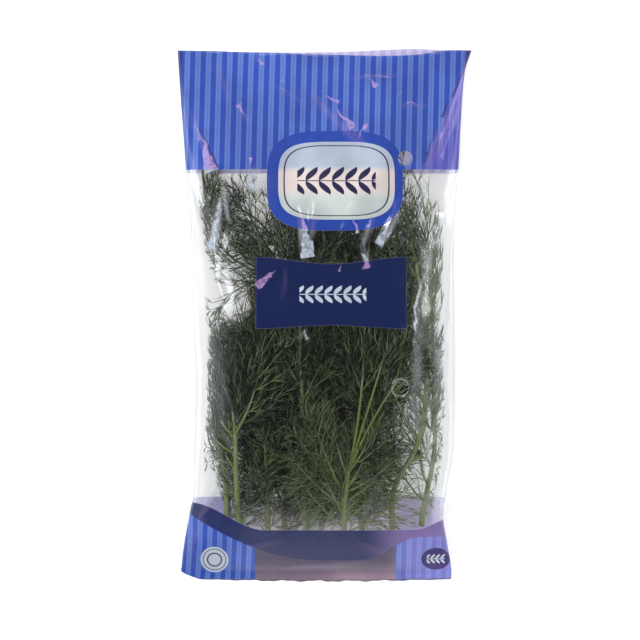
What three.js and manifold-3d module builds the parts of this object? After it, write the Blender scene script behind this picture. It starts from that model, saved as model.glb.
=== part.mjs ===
// A bunch of cut dill in a clear film bag that lies on its back.
//
// Millimetres. +Y runs from the sealed end of the bag to its open mouth, +Z is up, and the
// origin is on the ground under the middle of the bag. The bag is one open-topped shell. Each
// sprig is one solid: a cut stem, its leaves, their side branches and three-sided threads.

import * as THREE from 'three';
import { mergeVertices } from 'three/addons/utils/BufferGeometryUtils.js';
import Module from 'manifold-3d';

const wasm = await Module();
wasm.setup();

// ---------------------------------------------------------------- driving dimensions: the bag

const BAG_LENGTH = 340;
const MOUTH_Y = BAG_LENGTH / 2;
const WALL = 0.6;

// The bag's plan and its thickness along its length: wide at the mouth, drawn in where the
// dill fills it, swung out again at the bottom corners, and welded flat at its end.
const STATIONS = [
  { y: 170, left: -94, right: 94, height: 4 },
  { y: 155, left: -93, right: 89.5, height: 5 },
  { y: 93, left: -88.5, right: 85.5, height: 11 },
  { y: 47, left: -84.8, right: 82.5, height: 23 },
  { y: 0, left: -83.6, right: 82.6, height: 32 },
  { y: -45, left: -82, right: 82.7, height: 34 },
  { y: -85, left: -83, right: 82, height: 31 },
  { y: -111, left: -83.3, right: 77.8, height: 26 },
  { y: -127, left: -86.3, right: 75.6, height: 21 },
  { y: -145, left: -89.6, right: 78.4, height: 13 },
  { y: -160, left: -91.4, right: 81, height: 4.2 },
  { y: -164, left: -91, right: 81.2, height: 1.4 },
  { y: -168.4, left: -80, right: 81, height: 1.4 },
];
const CAVITY_END_Y = -160;
const ROW_STEP = 18;
const SECTION_SIDES = 30;

// A cross-section is flat below for this share of the half width, rises to a fold on each
// side at this share of the height, and arches over.
const FLAT_SHARE = 0.74;
const FOLD_SHARE = 0.32;
const ARCH_POWER = 3;
const ARCH_ROUND = 0.7;
const FOLD_INSET = { least: 1.2, whenThin: 6 };

// The front sheet's edge hangs back from the back sheet's at the mouth, and the welded end
// bows out in the middle.
const MOUTH_SAG = { most: 3.9, reach: 24, lean: 0.25 };
const END_BOW = 1.6;

const VENTS = [
  { x: 51.4, y: 100.6, diameter: 9.4, cutDepth: 4 },
  { x: 47.6, y: -45, diameter: 9.8, cutDepth: 8 },
];
const VENT_SIDES = 20;

// --------------------------------------------------------------- driving dimensions: the dill

// Each stem's route on the ground plan, from its cut end to its tip, and its leaves. A leaf
// is given by how far up the stem it grows, how many degrees its rib leans to the left of +Y
// at first, the rib's length, how many degrees the rib bends to the left on its way, and how
// full its side branches grow. A last number is there where the rib is bare at first. The
// rank is the sprig's place between the back sheet (0) and the front sheet. No two sprigs
// share a rank, so their stems and leaf ribs pass over each other.
const SPRIGS = [
  {
    rank: 8,
    seed: 11,
    route: [[-54, -137], [-56, -104], [-56.5, -74]],
    leaves: [
      [0.3, 28, 28, -20, 0.35],
      [0.6, 36, 40, -30, 0.4],
      [0.94, 44, 52, -60, 0.55],
      [0.96, 6, 66, 10, 0.6],
      [0.98, -27, 62, 20, 0.8],
    ],
  },
  {
    rank: 6,
    seed: 23,
    route: [[-62, -133], [-63, -107], [-66, -84], [-56, -44]],
    leaves: [
      [0.3, 22, 40, -30, 0.35],
      [0.5, 26, 50, -40, 0.5],
      [0.72, -28, 60, 20, 0.8],
      [0.9, 30, 36, -10, 0.5],
      [1, 0, 40, 10, 0.6],
    ],
  },
  {
    rank: 3,
    seed: 37,
    route: [[-36, -138], [-37, -79], [-32, -15], [-26, 30]],
    leaves: [
      [0.35, 22, 74, -20, 0.7],
      [0.62, -20, 60, 0, 0.9],
      [0.95, 72, 86, -50, 0.85],
      [0.96, 97, 48, 34, 0.6],
      [1, 18, 68, 56, 0.7],
    ],
  },
  {
    rank: 5,
    seed: 41,
    route: [[-12, -138], [-14, -73], [-16, 0]],
    leaves: [
      [0.2, 24, 80, -20, 0.9],
      [0.45, -26, 80, 20, 0.9],
      [0.7, 40, 52, 60, 0.8],
      [0.88, 62, 56, 84, 0.8],
      [1, 4, 62, -8, 1.15],
    ],
  },
  {
    rank: 9,
    seed: 67,
    route: [[12, -141], [13, -118], [15, -98]],
    leaves: [
      [0.4, 14, 30, 20, 0.4],
      [0.7, -32, 36, 10, 0.45],
      [0.97, -11, 96, 10, 1, 0.55],
      [0.97, -17, 104, 0, 0.9, 0.6],
      [0.97, -23, 92, -16, 1, 0.55],
    ],
  },
  {
    rank: 4,
    seed: 71,
    route: [[24, -138], [20, -93], [18, -34], [19, 24]],
    leaves: [
      [0.2, 30, 80, -20, 0.9],
      [0.42, -28, 80, 24, 1],
      [0.66, 24, 70, -10, 1],
      [0.78, -34, 60, 24, 1],
      [1, -6, 52, 8, 1.15],
    ],
  },
  {
    rank: 7,
    seed: 89,
    route: [[43, -139], [44, -110], [60, -78], [66, -30], [58, 34]],
    leaves: [
      [0.32, 30, 60, -10, 0.8],
      [0.55, -10, 46, 14, 0.5],
      [0.62, 26, 76, -20, 0.9],
      [0.82, -20, 56, 30, 0.85],
      [1, 12, 52, -8, 0.7],
    ],
  },
  {
    rank: 2,
    seed: 97,
    route: [[65, -134], [71, -110], [76, -84], [72, 4]],
    leaves: [
      [0.35, 14, 36, -14, 0.35],
      [0.5, 14, 60, 0, 0.6],
      [0.68, -6, 60, 8, 0.6],
      [0.85, 18, 60, -12, 0.75],
      [1, -2, 58, 8, 0.75],
    ],
  },
  {
    rank: 1,
    seed: 101,
    route: [[-2, -138], [1, -79], [-4, -5]],
    leaves: [
      [0.18, 26, 80, -10, 0.9],
      [0.4, -26, 84, 10, 0.95],
      [0.62, 24, 70, -6, 1],
      [0.82, -36, 66, 20, 1],
      [1, -6, 62, 6, 1.15],
    ],
  },
  {
    rank: 0,
    seed: 137,
    route: [[-26, -141], [-25, -92], [-40, -34]],
    leaves: [
      [0.18, 24, 64, -20, 0.7],
      [0.4, -20, 80, 10, 0.9],
      [0.62, 34, 50, -30, 0.6],
      [0.85, -16, 72, 10, 0.8],
      [1, 14, 40, -10, 0.6],
    ],
  },
];
const LAST_RANK = SPRIGS.length - 1;

// Each kind of limb is a tapered tube of a few sides, turned about its own line so that no
// two that meet share a plane.
const STEM_SHAPE = { base: 1.9, tip: 1.15, sides: 6, turn: 0 };
const RIB_SHAPE = { base: 0.9, tip: 0.65, sides: 4, turn: 0.37 };
const BRANCH_SHAPE = { base: 0.36, tip: 0.36, sides: 3, turn: 0.83 };

const STEM_STEPS = 7;

const RIB_STEPS = 4;
const RIB_WHORL = 0.87;

// Side branches stand on alternate sides of a leaf's rib.
const BRANCHES = 5;
const BRANCH_PLACE = { first: 0.2, last: 0.78 };
const BRANCH_LENGTH = { first: 31, last: 15 };
const BRANCH_ANGLE = { mean: 0.85, spread: 0.25 };
const BRANCH_TILT = 0.45;
const BRANCH_WHORL = 0.6;

// A whorl is a short stretch of a limb with one thread drawn out of each of its sides. Each
// limb has one whorl along it, and ends in another with a thread at its very end.
const WHORL_LENGTH = 0.8;
const THREAD_LENGTH = { short: 8, long: 16 };
const THREAD_SPLAY = { mean: 0.7, spread: 0.25 };
const THREAD_RADIUS = 0.4;

// Free space kept between sprigs, and between the film's outside and what it holds.
const CLEARANCE = 0.35;
const THREAD_MARGIN = 1.5;
const STEM_MARGIN = 2.9;
const EDGE_MARGIN = 4;
const FOLD_MARGIN = 1;
const FREE_SHARE = 0.7;
const TRIES = 12;

const FINEST_DETAIL = 0.05;

// ----------------------------------------------------------------------------- materials

const filmMaterial = new THREE.MeshStandardMaterial({
  color: 0xe9edf3,
  roughness: 0.15,
  metalness: 0,
  transparent: true,
  opacity: 0.35,
});

const dillMaterial = new THREE.MeshStandardMaterial({
  color: 0x43502f,
  roughness: 0.6,
  metalness: 0,
});

// ------------------------------------------------------------------------------- helpers

function clamp(value, low, high) {
  return Math.min(Math.max(value, low), high);
}

function mix(a, b, t) {
  return a + (b - a) * t;
}

// A seeded draw between two values: the same sprig grows the same way every time.
function makeRandom(seed) {
  let state = seed;
  return (low, high) => {
    state = (state * 16807) % 2147483647;
    return mix(low, high, state / 2147483647);
  };
}

// Joins closed loops of equal point count into one closed mesh. Each end is closed by a
// strip between the two halves of its loop. A spike draws one triangle out to an apex.
function loft(loops, spikes = []) {
  const count = loops[0].length;
  const triangles = [];
  const corner = (row, i) => row * count + ((i + count) % count);

  for (let row = 0; row < loops.length - 1; row += 1) {
    for (let i = 0; i < count; i += 1) {
      triangles.push([corner(row, i), corner(row, i + 1), corner(row + 1, i + 1)]);
      triangles.push([corner(row, i), corner(row + 1, i + 1), corner(row + 1, i)]);
    }
  }

  for (const [row, isFirst] of [[0, true], [loops.length - 1, false]]) {
    for (let i = 0; i < count / 2; i += 1) {
      const [a, b, c, d] = [i, i + 1, -i - 1, -i].map((k) => corner(row, k));
      for (const triangle of [[a, b, c], [a, c, d]]) {
        if (new Set(triangle).size === 3) {
          triangles.push(isFirst ? triangle.reverse() : triangle);
        }
      }
    }
  }

  spikes.forEach(({ triangle, apex }, n) => {
    const tip = loops.length * count + n;
    const [a, b, c] = triangles[triangle];
    triangles[triangle] = [a, b, tip];
    triangles.push([b, c, tip], [c, a, tip]);
  });

  const geometry = new THREE.BufferGeometry();
  const points = [...loops.flat(), ...spikes.map(({ apex }) => apex)];
  const positions = points.flatMap((point) => [point.x, point.y, point.z]);
  geometry.setAttribute('position', new THREE.Float32BufferAttribute(positions, 3));
  geometry.setIndex(triangles.flat());
  return geometry;
}

function toSolid(geometry) {
  geometry.deleteAttribute('normal');
  geometry.deleteAttribute('uv');
  const merged = mergeVertices(geometry);
  return new wasm.Manifold(new wasm.Mesh({
    numProp: 3,
    vertProperties: merged.getAttribute('position').array,
    triVerts: new Uint32Array(merged.getIndex().array),
  }));
}

function toGeometry(solid) {
  const { vertProperties, triVerts } = solid.getMesh();
  const geometry = new THREE.BufferGeometry();
  geometry.setAttribute('position', new THREE.BufferAttribute(vertProperties, 3));
  geometry.setIndex(new THREE.BufferAttribute(triVerts, 1));
  geometry.computeVertexNormals();
  return geometry;
}

// Draws in every edge that is shorter than the finest detail, so that limbs fused at a
// slant leave no slivers. It runs until nothing changes.
function withoutSlivers(solid) {
  const { vertProperties, triVerts } = solid.simplify(FINEST_DETAIL).getMesh();
  const points = Array.from({ length: vertProperties.length / 3 }, (_, i) => (
    new THREE.Vector3().fromArray(vertProperties, 3 * i)));
  const kept = points.map((_, i) => i);
  for (let i = 0; i < triVerts.length; i += 1) {
    const next = i % 3 === 2 ? i - 2 : i + 1;
    const a = kept[triVerts[i]];
    const b = kept[triVerts[next]];
    if (a !== b && points[a].distanceTo(points[b]) < FINEST_DETAIL) {
      kept.forEach((to, from) => {
        if (to === b) {
          kept[from] = a;
        }
      });
    }
  }
  const corners = triVerts.map((vertex) => kept[vertex]);
  const triangles = [];
  for (let i = 0; i < corners.length; i += 3) {
    const triangle = [...corners.slice(i, i + 3)];
    if (new Set(triangle).size === 3) {
      triangles.push(triangle);
    }
  }
  const clean = new wasm.Manifold(new wasm.Mesh({
    numProp: 3,
    vertProperties,
    triVerts: new Uint32Array(triangles.flat()),
  }));
  return triangles.length * 3 < triVerts.length ? withoutSlivers(clean) : clean;
}

// ------------------------------------------------------------------------------- the bag

// The station at any y, on a smooth curve through the table.
function stationAt(y) {
  const last = STATIONS.length - 1;
  const held = clamp(y, STATIONS[last].y, STATIONS[0].y);
  let k = 0;
  while (k < last - 1 && STATIONS[k + 1].y > held) {
    k += 1;
  }
  const a = STATIONS[k];
  const b = STATIONS[k + 1];
  const before = STATIONS[Math.max(k - 1, 0)];
  const after = STATIONS[Math.min(k + 2, last)];
  const span = b.y - a.y;
  const t = (held - a.y) / span;

  const value = (key) => {
    const rise = b[key] - a[key];
    const slopeA = ((b[key] - before[key]) / (b.y - before.y)) * span;
    const slopeB = ((after[key] - a[key]) / (after.y - a.y)) * span;
    const square = 3 * rise - 2 * slopeA - slopeB;
    const cube = slopeA + slopeB - 2 * rise;
    return a[key] + t * (slopeA + t * (square + t * cube));
  };
  return {
    middle: (value('left') + value('right')) / 2,
    half: (value('right') - value('left')) / 2,
    height: value('height'),
  };
}

// Heights of the front and back sheets. across runs from -1 at the left fold to 1 at the
// right one.
function frontHeight(station, across) {
  const fold = station.height * FOLD_SHARE;
  const arch = Math.max(1 - Math.abs(across) ** ARCH_POWER, 0) ** ARCH_ROUND;
  return fold + (station.height - fold) * arch;
}

function backHeight(station, across) {
  const lift = Math.max(Math.abs(across) - FLAT_SHARE, 0) / (1 - FLAT_SHARE);
  return station.height * FOLD_SHARE * lift * lift;
}

function mouthSag(y, across) {
  const near = clamp(1 - (MOUTH_Y - y) / MOUTH_SAG.reach, 0, 1);
  const lean = 1 - MOUTH_SAG.lean + MOUTH_SAG.lean * across;
  return MOUTH_SAG.most * near * near * lean * (1 - across ** 8);
}

function endBow(y, across) {
  const [start, end] = [STATIONS.at(-2).y, STATIONS.at(-1).y];
  return END_BOW * clamp((start - y) / (start - end), 0, 1) * (1 - across * across);
}

// One closed loop round the bag at y. The inner loop is the outer one drawn in at its folds
// and thinner by a wall above and below.
function bagLoop(y, isInner) {
  const station = stationAt(y);
  const inset = isInner ? FOLD_INSET.least + FOLD_INSET.whenThin / station.height : 0;
  const base = isInner ? WALL : 0;
  const thinner = (station.height - 2 * base) / station.height;

  return Array.from({ length: SECTION_SIDES }, (_, i) => {
    const angle = (2 * Math.PI * i) / SECTION_SIDES;
    const across = Math.cos(angle);
    const isFront = i > 0 && i < SECTION_SIDES / 2;
    const height = isFront ? frontHeight(station, across) : backHeight(station, across);
    const sag = isFront ? mouthSag(y, across) : 0;
    return new THREE.Vector3(
      station.middle + (station.half - inset) * across,
      y - sag - endBow(y, across),
      base + thinner * height,
    );
  });
}

function makeVentCutter(vent) {
  const station = stationAt(vent.y);
  const across = (vent.x - station.middle) / station.half;
  const radius = vent.diameter / 2;
  const cutter = new THREE.CylinderGeometry(radius, radius, vent.cutDepth * 2, VENT_SIDES);
  cutter.rotateX(Math.PI / 2);
  cutter.translate(vent.x, vent.y, frontHeight(station, across));
  return toSolid(cutter);
}

// One skin from the cavity's closed end up its inside, over the rim of the mouth and down
// the outside to the weld.
function makeBag() {
  const steps = Math.round((MOUTH_Y - CAVITY_END_Y) / ROW_STEP);
  const rows = Array.from({ length: steps + 1 }, (_, k) => mix(CAVITY_END_Y, MOUTH_Y, k / steps));
  const weld = [STATIONS.at(-2).y, STATIONS.at(-1).y];
  const shell = toSolid(loft([
    ...rows.map((y) => bagLoop(y, true)),
    ...rows.reverse().map((y) => bagLoop(y, false)),
    ...weld.map((y) => bagLoop(y, false)),
  ]));
  return VENTS.reduce((solid, vent) => solid.subtract(makeVentCutter(vent)), shell);
}

// ------------------------------------------------------------------------------ the dill

// Presses a distance together as it nears a limit, which it never passes.
function pressed(distance, limit) {
  const part = Math.abs(distance) / limit;
  const over = Math.max(part - FREE_SHARE, 0) / (1 - FREE_SHARE);
  return Math.sign(distance) * limit
    * (Math.min(part, FREE_SHARE) + (1 - FREE_SHARE) * Math.tanh(over));
}

// A point in the bag over a place on the plan, at a share of the free height there.
function pointInBag([x, y], share, margin) {
  const station = stationAt(y);
  const reach = station.half - EDGE_MARGIN - margin;
  const heldX = station.middle + pressed(x - station.middle, reach);
  const across = (heldX - station.middle) / station.half;
  const kept = margin * (1 + FOLD_MARGIN * across ** 8);
  const low = backHeight(station, across) + kept;
  const high = frontHeight(station, across) - kept;
  const z = high > low ? mix(low, high, share) : (low + high) / 2;
  return new THREE.Vector3(heldX, y, z);
}

// Moves a point that would be outside the free space onto its limit.
function heldInBag(point) {
  const low = pointInBag([point.x, point.y], 0, THREAD_MARGIN);
  const high = pointInBag([point.x, point.y], 1, THREAD_MARGIN);
  return new THREE.Vector3(low.x, point.y, clamp(point.z, low.z, Math.max(high.z, low.z)));
}

function stemPoints(sprig) {
  const route = new THREE.CatmullRomCurve3(
    sprig.route.map(([x, y]) => new THREE.Vector3(x, y, 0)),
  );
  return route.getPoints(STEM_STEPS)
    .map((point) => pointInBag([point.x, point.y], sprig.rank / LAST_RANK, STEM_MARGIN));
}

// A leaf's rib, from its place on the stem to its tip.
function ribPoints(start, [, lean, length, bend], share) {
  const points = [start];
  let { x, y } = start;
  for (let k = 0; k < RIB_STEPS; k += 1) {
    const degrees = 90 + lean + (bend * k) / (RIB_STEPS - 1);
    x += (length / RIB_STEPS) * Math.cos(THREE.MathUtils.degToRad(degrees));
    y += (length / RIB_STEPS) * Math.sin(THREE.MathUtils.degToRad(degrees));
    points.push(pointInBag([x, y], share, STEM_MARGIN));
  }
  return points;
}

function polylineAt(points, share) {
  const place = share * (points.length - 1);
  const k = Math.min(Math.floor(place), points.length - 2);
  return {
    point: points[k].clone().lerp(points[k + 1], place - k),
    along: points[k + 1].clone().sub(points[k]).normalize(),
  };
}

// What is already grown, as lines with a radius, so that limbs are kept off each other.
const grown = [];

function remember(name, points, radius) {
  for (let k = 0; k < points.length - 1; k += 1) {
    grown.push({ name, line: new THREE.Line3(points[k], points[k + 1]), radius });
  }
}

function isClear(ownNames, from, to, radius) {
  const line = new THREE.Line3(from, to);
  return grown.every((other) => {
    const gap = radius + other.radius + CLEARANCE;
    return ownNames.includes(other.name) || line.distanceSqToLine3(other.line) > gap * gap;
  });
}

// The first of several directions that ends clear of all but the limb's own, or null.
function findEnd(ownNames, start, length, radius, makeDirection) {
  for (let k = 0; k < TRIES; k += 1) {
    const end = heldInBag(start.clone().addScaledVector(makeDirection(), length));
    if (isClear(ownNames, start, end, radius)) {
      return end;
    }
  }
  return null;
}

// The rings of a tapered limb, with a regular polygon as its section.
function limbRings(places, shape) {
  const up = new THREE.Vector3(0, 0, 1);
  return places.map(({ point, along, share }) => {
    const across = up.clone().cross(along).normalize();
    const over = along.clone().cross(across);
    const reach = mix(shape.base, shape.tip, share);
    return Array.from({ length: shape.sides }, (_, i) => {
      const angle = (2 * Math.PI * i) / shape.sides + shape.turn;
      return point.clone()
        .addScaledVector(across, reach * Math.cos(angle))
        .addScaledVector(over, reach * Math.sin(angle));
    });
  });
}

function evenPlaces(points) {
  const last = points.length - 1;
  return points.map((_, k) => ({ share: k / last, ...polylineAt(points, k / last) }));
}

// A limb with two whorls of threads, the second at its end with one more thread in line.
function makeFeather(name, points, shape, whorl, random) {
  const bends = points.length - 1;
  const stretch = WHORL_LENGTH / points[0].distanceTo(points[bends]);
  const whorls = [whorl, 1 - stretch];
  const shares = [
    ...points.slice(0, bends).map((_, k) => k / bends),
    ...whorls.flatMap((share) => [share, share + stretch]),
  ].sort((a, b) => a - b);
  const places = shares.map((share) => ({ share, ...polylineAt(points, share) }));
  const rings = limbRings(places, shape);
  const { sides } = shape;
  const threads = `${name} threads`;
  const spikes = [];

  const drawOut = (triangle, root, along, out, meanSplay) => {
    const reach = random(THREAD_LENGTH.short, THREAD_LENGTH.long);
    const apex = findEnd([name, threads], root, reach, THREAD_RADIUS, () => {
      const splay = meanSplay + random(-THREAD_SPLAY.spread, THREAD_SPLAY.spread);
      return along.clone().multiplyScalar(Math.cos(splay)).addScaledVector(out, Math.sin(splay));
    });
    if (apex) {
      remember(threads, [root, apex], THREAD_RADIUS);
      spikes.push({ triangle, apex });
    }
  };

  for (const share of whorls) {
    const row = shares.indexOf(share);
    const { point, along } = places[row];
    for (let i = 0; i < sides; i += 1) {
      const next = (i + 1) % sides;
      const root = rings[row][i].clone().add(rings[row][next]).add(rings[row + 1][next])
        .divideScalar(3);
      const out = root.clone().sub(point).projectOnPlane(along).normalize();
      drawOut(2 * (row * sides + i), root, along, out, THREAD_SPLAY.mean);
    }
  }
  const { point, along } = places.at(-1);
  const lastCap = 2 * sides * (rings.length - 1) + sides - 2;
  drawOut(lastCap, point, along, rings[0][0].clone().sub(places[0].point).normalize(), 0);
  return loft(rings, spikes);
}

// Branches of one leaf, each from its rib to a free end.
function makeBranches({ name, points: rib, fullness, bare }, random) {
  const branches = [];
  for (let k = 0; k < BRANCHES; k += 1) {
    const t = k / (BRANCHES - 1);
    const side = k % 2 === 0 ? 1 : -1;
    const { point, along } = polylineAt(rib, mix(bare, BRANCH_PLACE.last, t));
    const length = fullness * mix(BRANCH_LENGTH.first, BRANCH_LENGTH.last, t);
    const end = findEnd([name], point, length, BRANCH_SHAPE.base, () => {
      const spread = random(-BRANCH_ANGLE.spread, BRANCH_ANGLE.spread);
      const heading = Math.atan2(along.y, along.x) + side * (BRANCH_ANGLE.mean + spread);
      const tilt = random(-BRANCH_TILT, BRANCH_TILT);
      return new THREE.Vector3(Math.cos(heading), Math.sin(heading), tilt).normalize();
    });
    if (end) {
      const branch = { name: `${name} branch ${k}`, points: [point, end] };
      remember(branch.name, branch.points, BRANCH_SHAPE.base);
      branches.push(branch);
    }
  }
  return branches;
}

// The main body of a fused sprig. A loose scrap is dropped, and a sealed pocket is filled.
function mainBody(solid) {
  return solid.decompose().reduce((best, part) => (part.volume() > best.volume() ? part : best));
}

// Stems and ribs are laid first, then branches, and threads last, so that the thick limbs
// have their way and the thin ones grow clear of them.
function makeSprigs() {
  const skeletons = SPRIGS.map((sprig, k) => {
    const random = makeRandom(sprig.seed);
    const stem = stemPoints(sprig);
    const ribs = sprig.leaves.map((leaf, number) => ({
      name: `sprig ${k} rib ${number}`,
      points: ribPoints(polylineAt(stem, leaf[0]).point, leaf, sprig.rank / LAST_RANK),
      fullness: leaf[4],
      bare: leaf[5] ?? BRANCH_PLACE.first,
    }));
    remember(`sprig ${k} stem`, stem, STEM_SHAPE.base);
    ribs.forEach((rib) => remember(rib.name, rib.points, RIB_SHAPE.base));
    return { stem, ribs, random };
  });
  for (const skeleton of skeletons) {
    skeleton.branches = skeleton.ribs
      .flatMap((rib) => makeBranches(rib, skeleton.random));
  }
  return skeletons.map(({ stem, ribs, branches, random }) => {
    const pieces = [
      loft(limbRings(evenPlaces(stem), STEM_SHAPE)),
      ...ribs.map(({ name, points }) => (
        makeFeather(name, points, RIB_SHAPE, RIB_WHORL, random))),
      ...branches.map(({ name, points }) => (
        makeFeather(name, points, BRANCH_SHAPE, BRANCH_WHORL, random))),
    ];
    return mainBody(withoutSlivers(wasm.Manifold.union(pieces.map(toSolid))));
  });
}

// --------------------------------------------------------------------------- the object

const dillBunch = new THREE.Group();

function addMesh(name, solid, material) {
  const mesh = new THREE.Mesh(toGeometry(solid), material.clone());
  mesh.name = name;
  dillBunch.add(mesh);
}

addMesh('film_bag', makeBag(), filmMaterial);
makeSprigs().forEach((solid, k) => {
  addMesh(`dill_sprig_${String(k + 1).padStart(2, '0')}`, solid, dillMaterial);
});

export default dillBunch;
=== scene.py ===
import bpy
import numpy as np
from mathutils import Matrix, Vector


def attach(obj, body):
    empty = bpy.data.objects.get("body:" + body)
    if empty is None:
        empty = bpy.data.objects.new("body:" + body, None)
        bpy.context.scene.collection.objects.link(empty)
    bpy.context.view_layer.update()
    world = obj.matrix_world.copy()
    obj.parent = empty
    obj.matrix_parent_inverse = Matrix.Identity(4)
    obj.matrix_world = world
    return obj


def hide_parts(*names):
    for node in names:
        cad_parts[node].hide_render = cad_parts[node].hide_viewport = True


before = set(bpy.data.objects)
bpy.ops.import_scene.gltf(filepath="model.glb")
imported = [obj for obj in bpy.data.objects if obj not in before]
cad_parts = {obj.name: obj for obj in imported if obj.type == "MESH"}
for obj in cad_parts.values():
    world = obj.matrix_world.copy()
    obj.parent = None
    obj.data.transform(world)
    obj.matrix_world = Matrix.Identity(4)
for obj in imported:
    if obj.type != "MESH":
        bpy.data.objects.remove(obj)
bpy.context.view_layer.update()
bpy.ops.object.select_all(action="DESELECT")

# ---------------------------------------------------------------------------------------
# The film bag. One tube of thin clear film, pressed flat, welded at the bottom and open at
# the top. The blue header, the small label and the bottom band are ink on the film's
# inside, and two breathing holes are punched through the front.

MM = 0.001
MOUTH_Y = 170.0
# Each station has its place along the bag, its left and right fold, and its height.
STATIONS = np.array([
    (170, -94, 94, 4), (155, -93, 89.5, 5), (93, -88.5, 85.5, 11), (47, -84.8, 82.5, 23),
    (0, -83.6, 82.6, 32), (-45, -82, 82.7, 34), (-85, -83, 82, 31), (-111, -83.3, 77.8, 26),
    (-127, -86.3, 75.6, 21), (-145, -89.6, 78.4, 13), (-160, -91.4, 81, 4.2),
    (-164, -91, 81.2, 1.4), (-168.4, -80, 81, 1.4),
], float)
FLAT_SHARE, FOLD_SHARE = 0.74, 0.32
ARCH_POWER, ARCH_ROUND = 3, 0.7
# Places across the mouth, from the left fold to the right one, and how far each sheet's edge
# sags toward the foot there. The sag fades out along the bag.
SAG_REACH = 24.0
FRONT_SAG = np.array([
    (-94, 0), (-70, 0.8), (-54, 1.3), (-30, 2.0), (-8, 2.8), (13, 3.5), (33, 3.8), (48, 3.6),
    (60, 2.7), (70, 1.2), (76, 0.2), (80, 0), (94, 0),
], float)
BACK_SAG = np.array([
    (-94, 0), (-60, 0.8), (-20, 1.2), (10, 1.0), (30, 0), (56, -1.2), (70, -0.6), (80, 0), (94, 0),
], float)
END_BOW, END_WAVE = 1.6, 0.4
HALF_FLAT_WIDTH = 94.0


def station_at(y):
    """The bag's middle, half width and height at any place along it, on a smooth curve."""
    last = len(STATIONS) - 1
    held = np.clip(y, STATIONS[last, 0], STATIONS[0, 0])
    k = np.clip(np.searchsorted(-STATIONS[:, 0], -held, side="left") - 1, 0, last - 1)
    a, b = STATIONS[k], STATIONS[k + 1]
    before, after = STATIONS[np.maximum(k - 1, 0)], STATIONS[np.minimum(k + 2, last)]
    span = b[..., 0] - a[..., 0]
    t = (held - a[..., 0]) / span

    def value(column):
        rise = b[..., column] - a[..., column]
        slope_a = (b[..., column] - before[..., column]) / (b[..., 0] - before[..., 0]) * span
        slope_b = (after[..., column] - a[..., column]) / (after[..., 0] - a[..., 0]) * span
        square = 3 * rise - 2 * slope_a - slope_b
        cube = slope_a + slope_b - 2 * rise
        return a[..., column] + t * (slope_a + t * (square + t * cube))

    left, right = value(1), value(2)
    return (left + right) / 2, (right - left) / 2, value(3)


def front_height(height, across):
    """Height of the front sheet; across is -1 at the left fold and 1 at the right one."""
    fold = height * FOLD_SHARE
    arch = np.maximum(1 - np.abs(across) ** ARCH_POWER, 0) ** ARCH_ROUND
    return fold + (height - fold) * arch


def back_height(height, across):
    lift = np.maximum(np.abs(across) - FLAT_SHARE, 0) / (1 - FLAT_SHARE)
    return height * FOLD_SHARE * lift * lift


# Folds pinched into the front sheet: middle x and y, direction in degrees from +X, length,
# reach to its left and to its right, and height. Each flank is flat, as in creased film.
PINCHED_FOLDS = [
    # the header's long crease on the right, and the turned-up corner of its left side
    (78.8, 133.7, 67, 96, 2.0, 9.0, 1.7), (76.9, 122.4, 71, 44, 1.8, 4.0, 0.9),
    (-76.5, 111.0, -66, 46, 1.8, 4.2, 0.7),
    # small ones across the header
    (8.0, 126.0, -48, 50, 3.2, 4.2, 1.5), (18.0, 116.0, -50, 22, 3.6, 2.6, 1.2),
    (31.0, 152.0, 4, 36, 2.6, 2.2, 0.8), (57.0, 135.0, -4, 18, 2.4, 2.4, 0.9),
    (-42.0, 162.0, -40, 12, 2.4, 2.0, 0.8), (-51.0, 130.0, -52, 16, 2.0, 3.2, 0.9),
    (-22.0, 140.0, -30, 30, 2.6, 2.2, 0.7), (-66.0, 150.0, -74, 30, 3.0, 2.4, 0.9),
    # over the upper leaves
    (-68.5, 58.0, 84, 42, 2.6, 3.6, 1.5), (-61.0, 70.0, 98, 26, 3.2, 2.4, 1.2),
    (-46.5, 87.0, 88, 18, 3.0, 3.0, 1.3), (-13.0, 52.0, 96, 38, 4.0, 3.0, 1.5),
    (-8.0, 60.0, 80, 30, 2.6, 3.2, 1.2), (28.0, 52.0, 70, 24, 3.2, 2.4, 1.2),
    (39.0, 54.0, 62, 26, 2.6, 4.2, 1.5), (25.5, 37.0, 104, 16, 2.4, 2.6, 1.2),
    (44.0, 66.0, 100, 18, 2.0, 2.6, 1.0), (62.0, 72.0, 80, 30, 2.8, 2.6, 1.1),
    (-13.0, -11.5, 48, 10, 2.2, 1.6, 0.8), (-26.0, 20.0, 86, 22, 2.0, 2.0, 0.6),
    # down the sides and round the bottom
    (55.0, -30.0, 88, 110, 4.0, 6.5, 0.5), (62.0, -92.0, 80, 60, 3.0, 4.0, 0.4),
    (-74.0, -118.0, 60, 34, 3.0, 3.0, 1.3),
    (-82.0, -138.0, 66, 26, 2.4, 3.4, 1.2), (-86.0, -150.0, 84, 20, 2.0, 2.6, 0.9),
    (71.0, -118.0, 112, 30, 3.0, 3.0, 1.3), (76.0, -140.0, 96, 30, 2.4, 2.4, 0.9),
    (-40.0, -146.0, 12, 30, 3.0, 2.6, 0.8), (2.0, -158.0, 4, 60, 2.6, 3.0, 0.8),
    (34.0, -150.0, -22, 34, 3.0, 2.4, 0.9),
]

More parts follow.
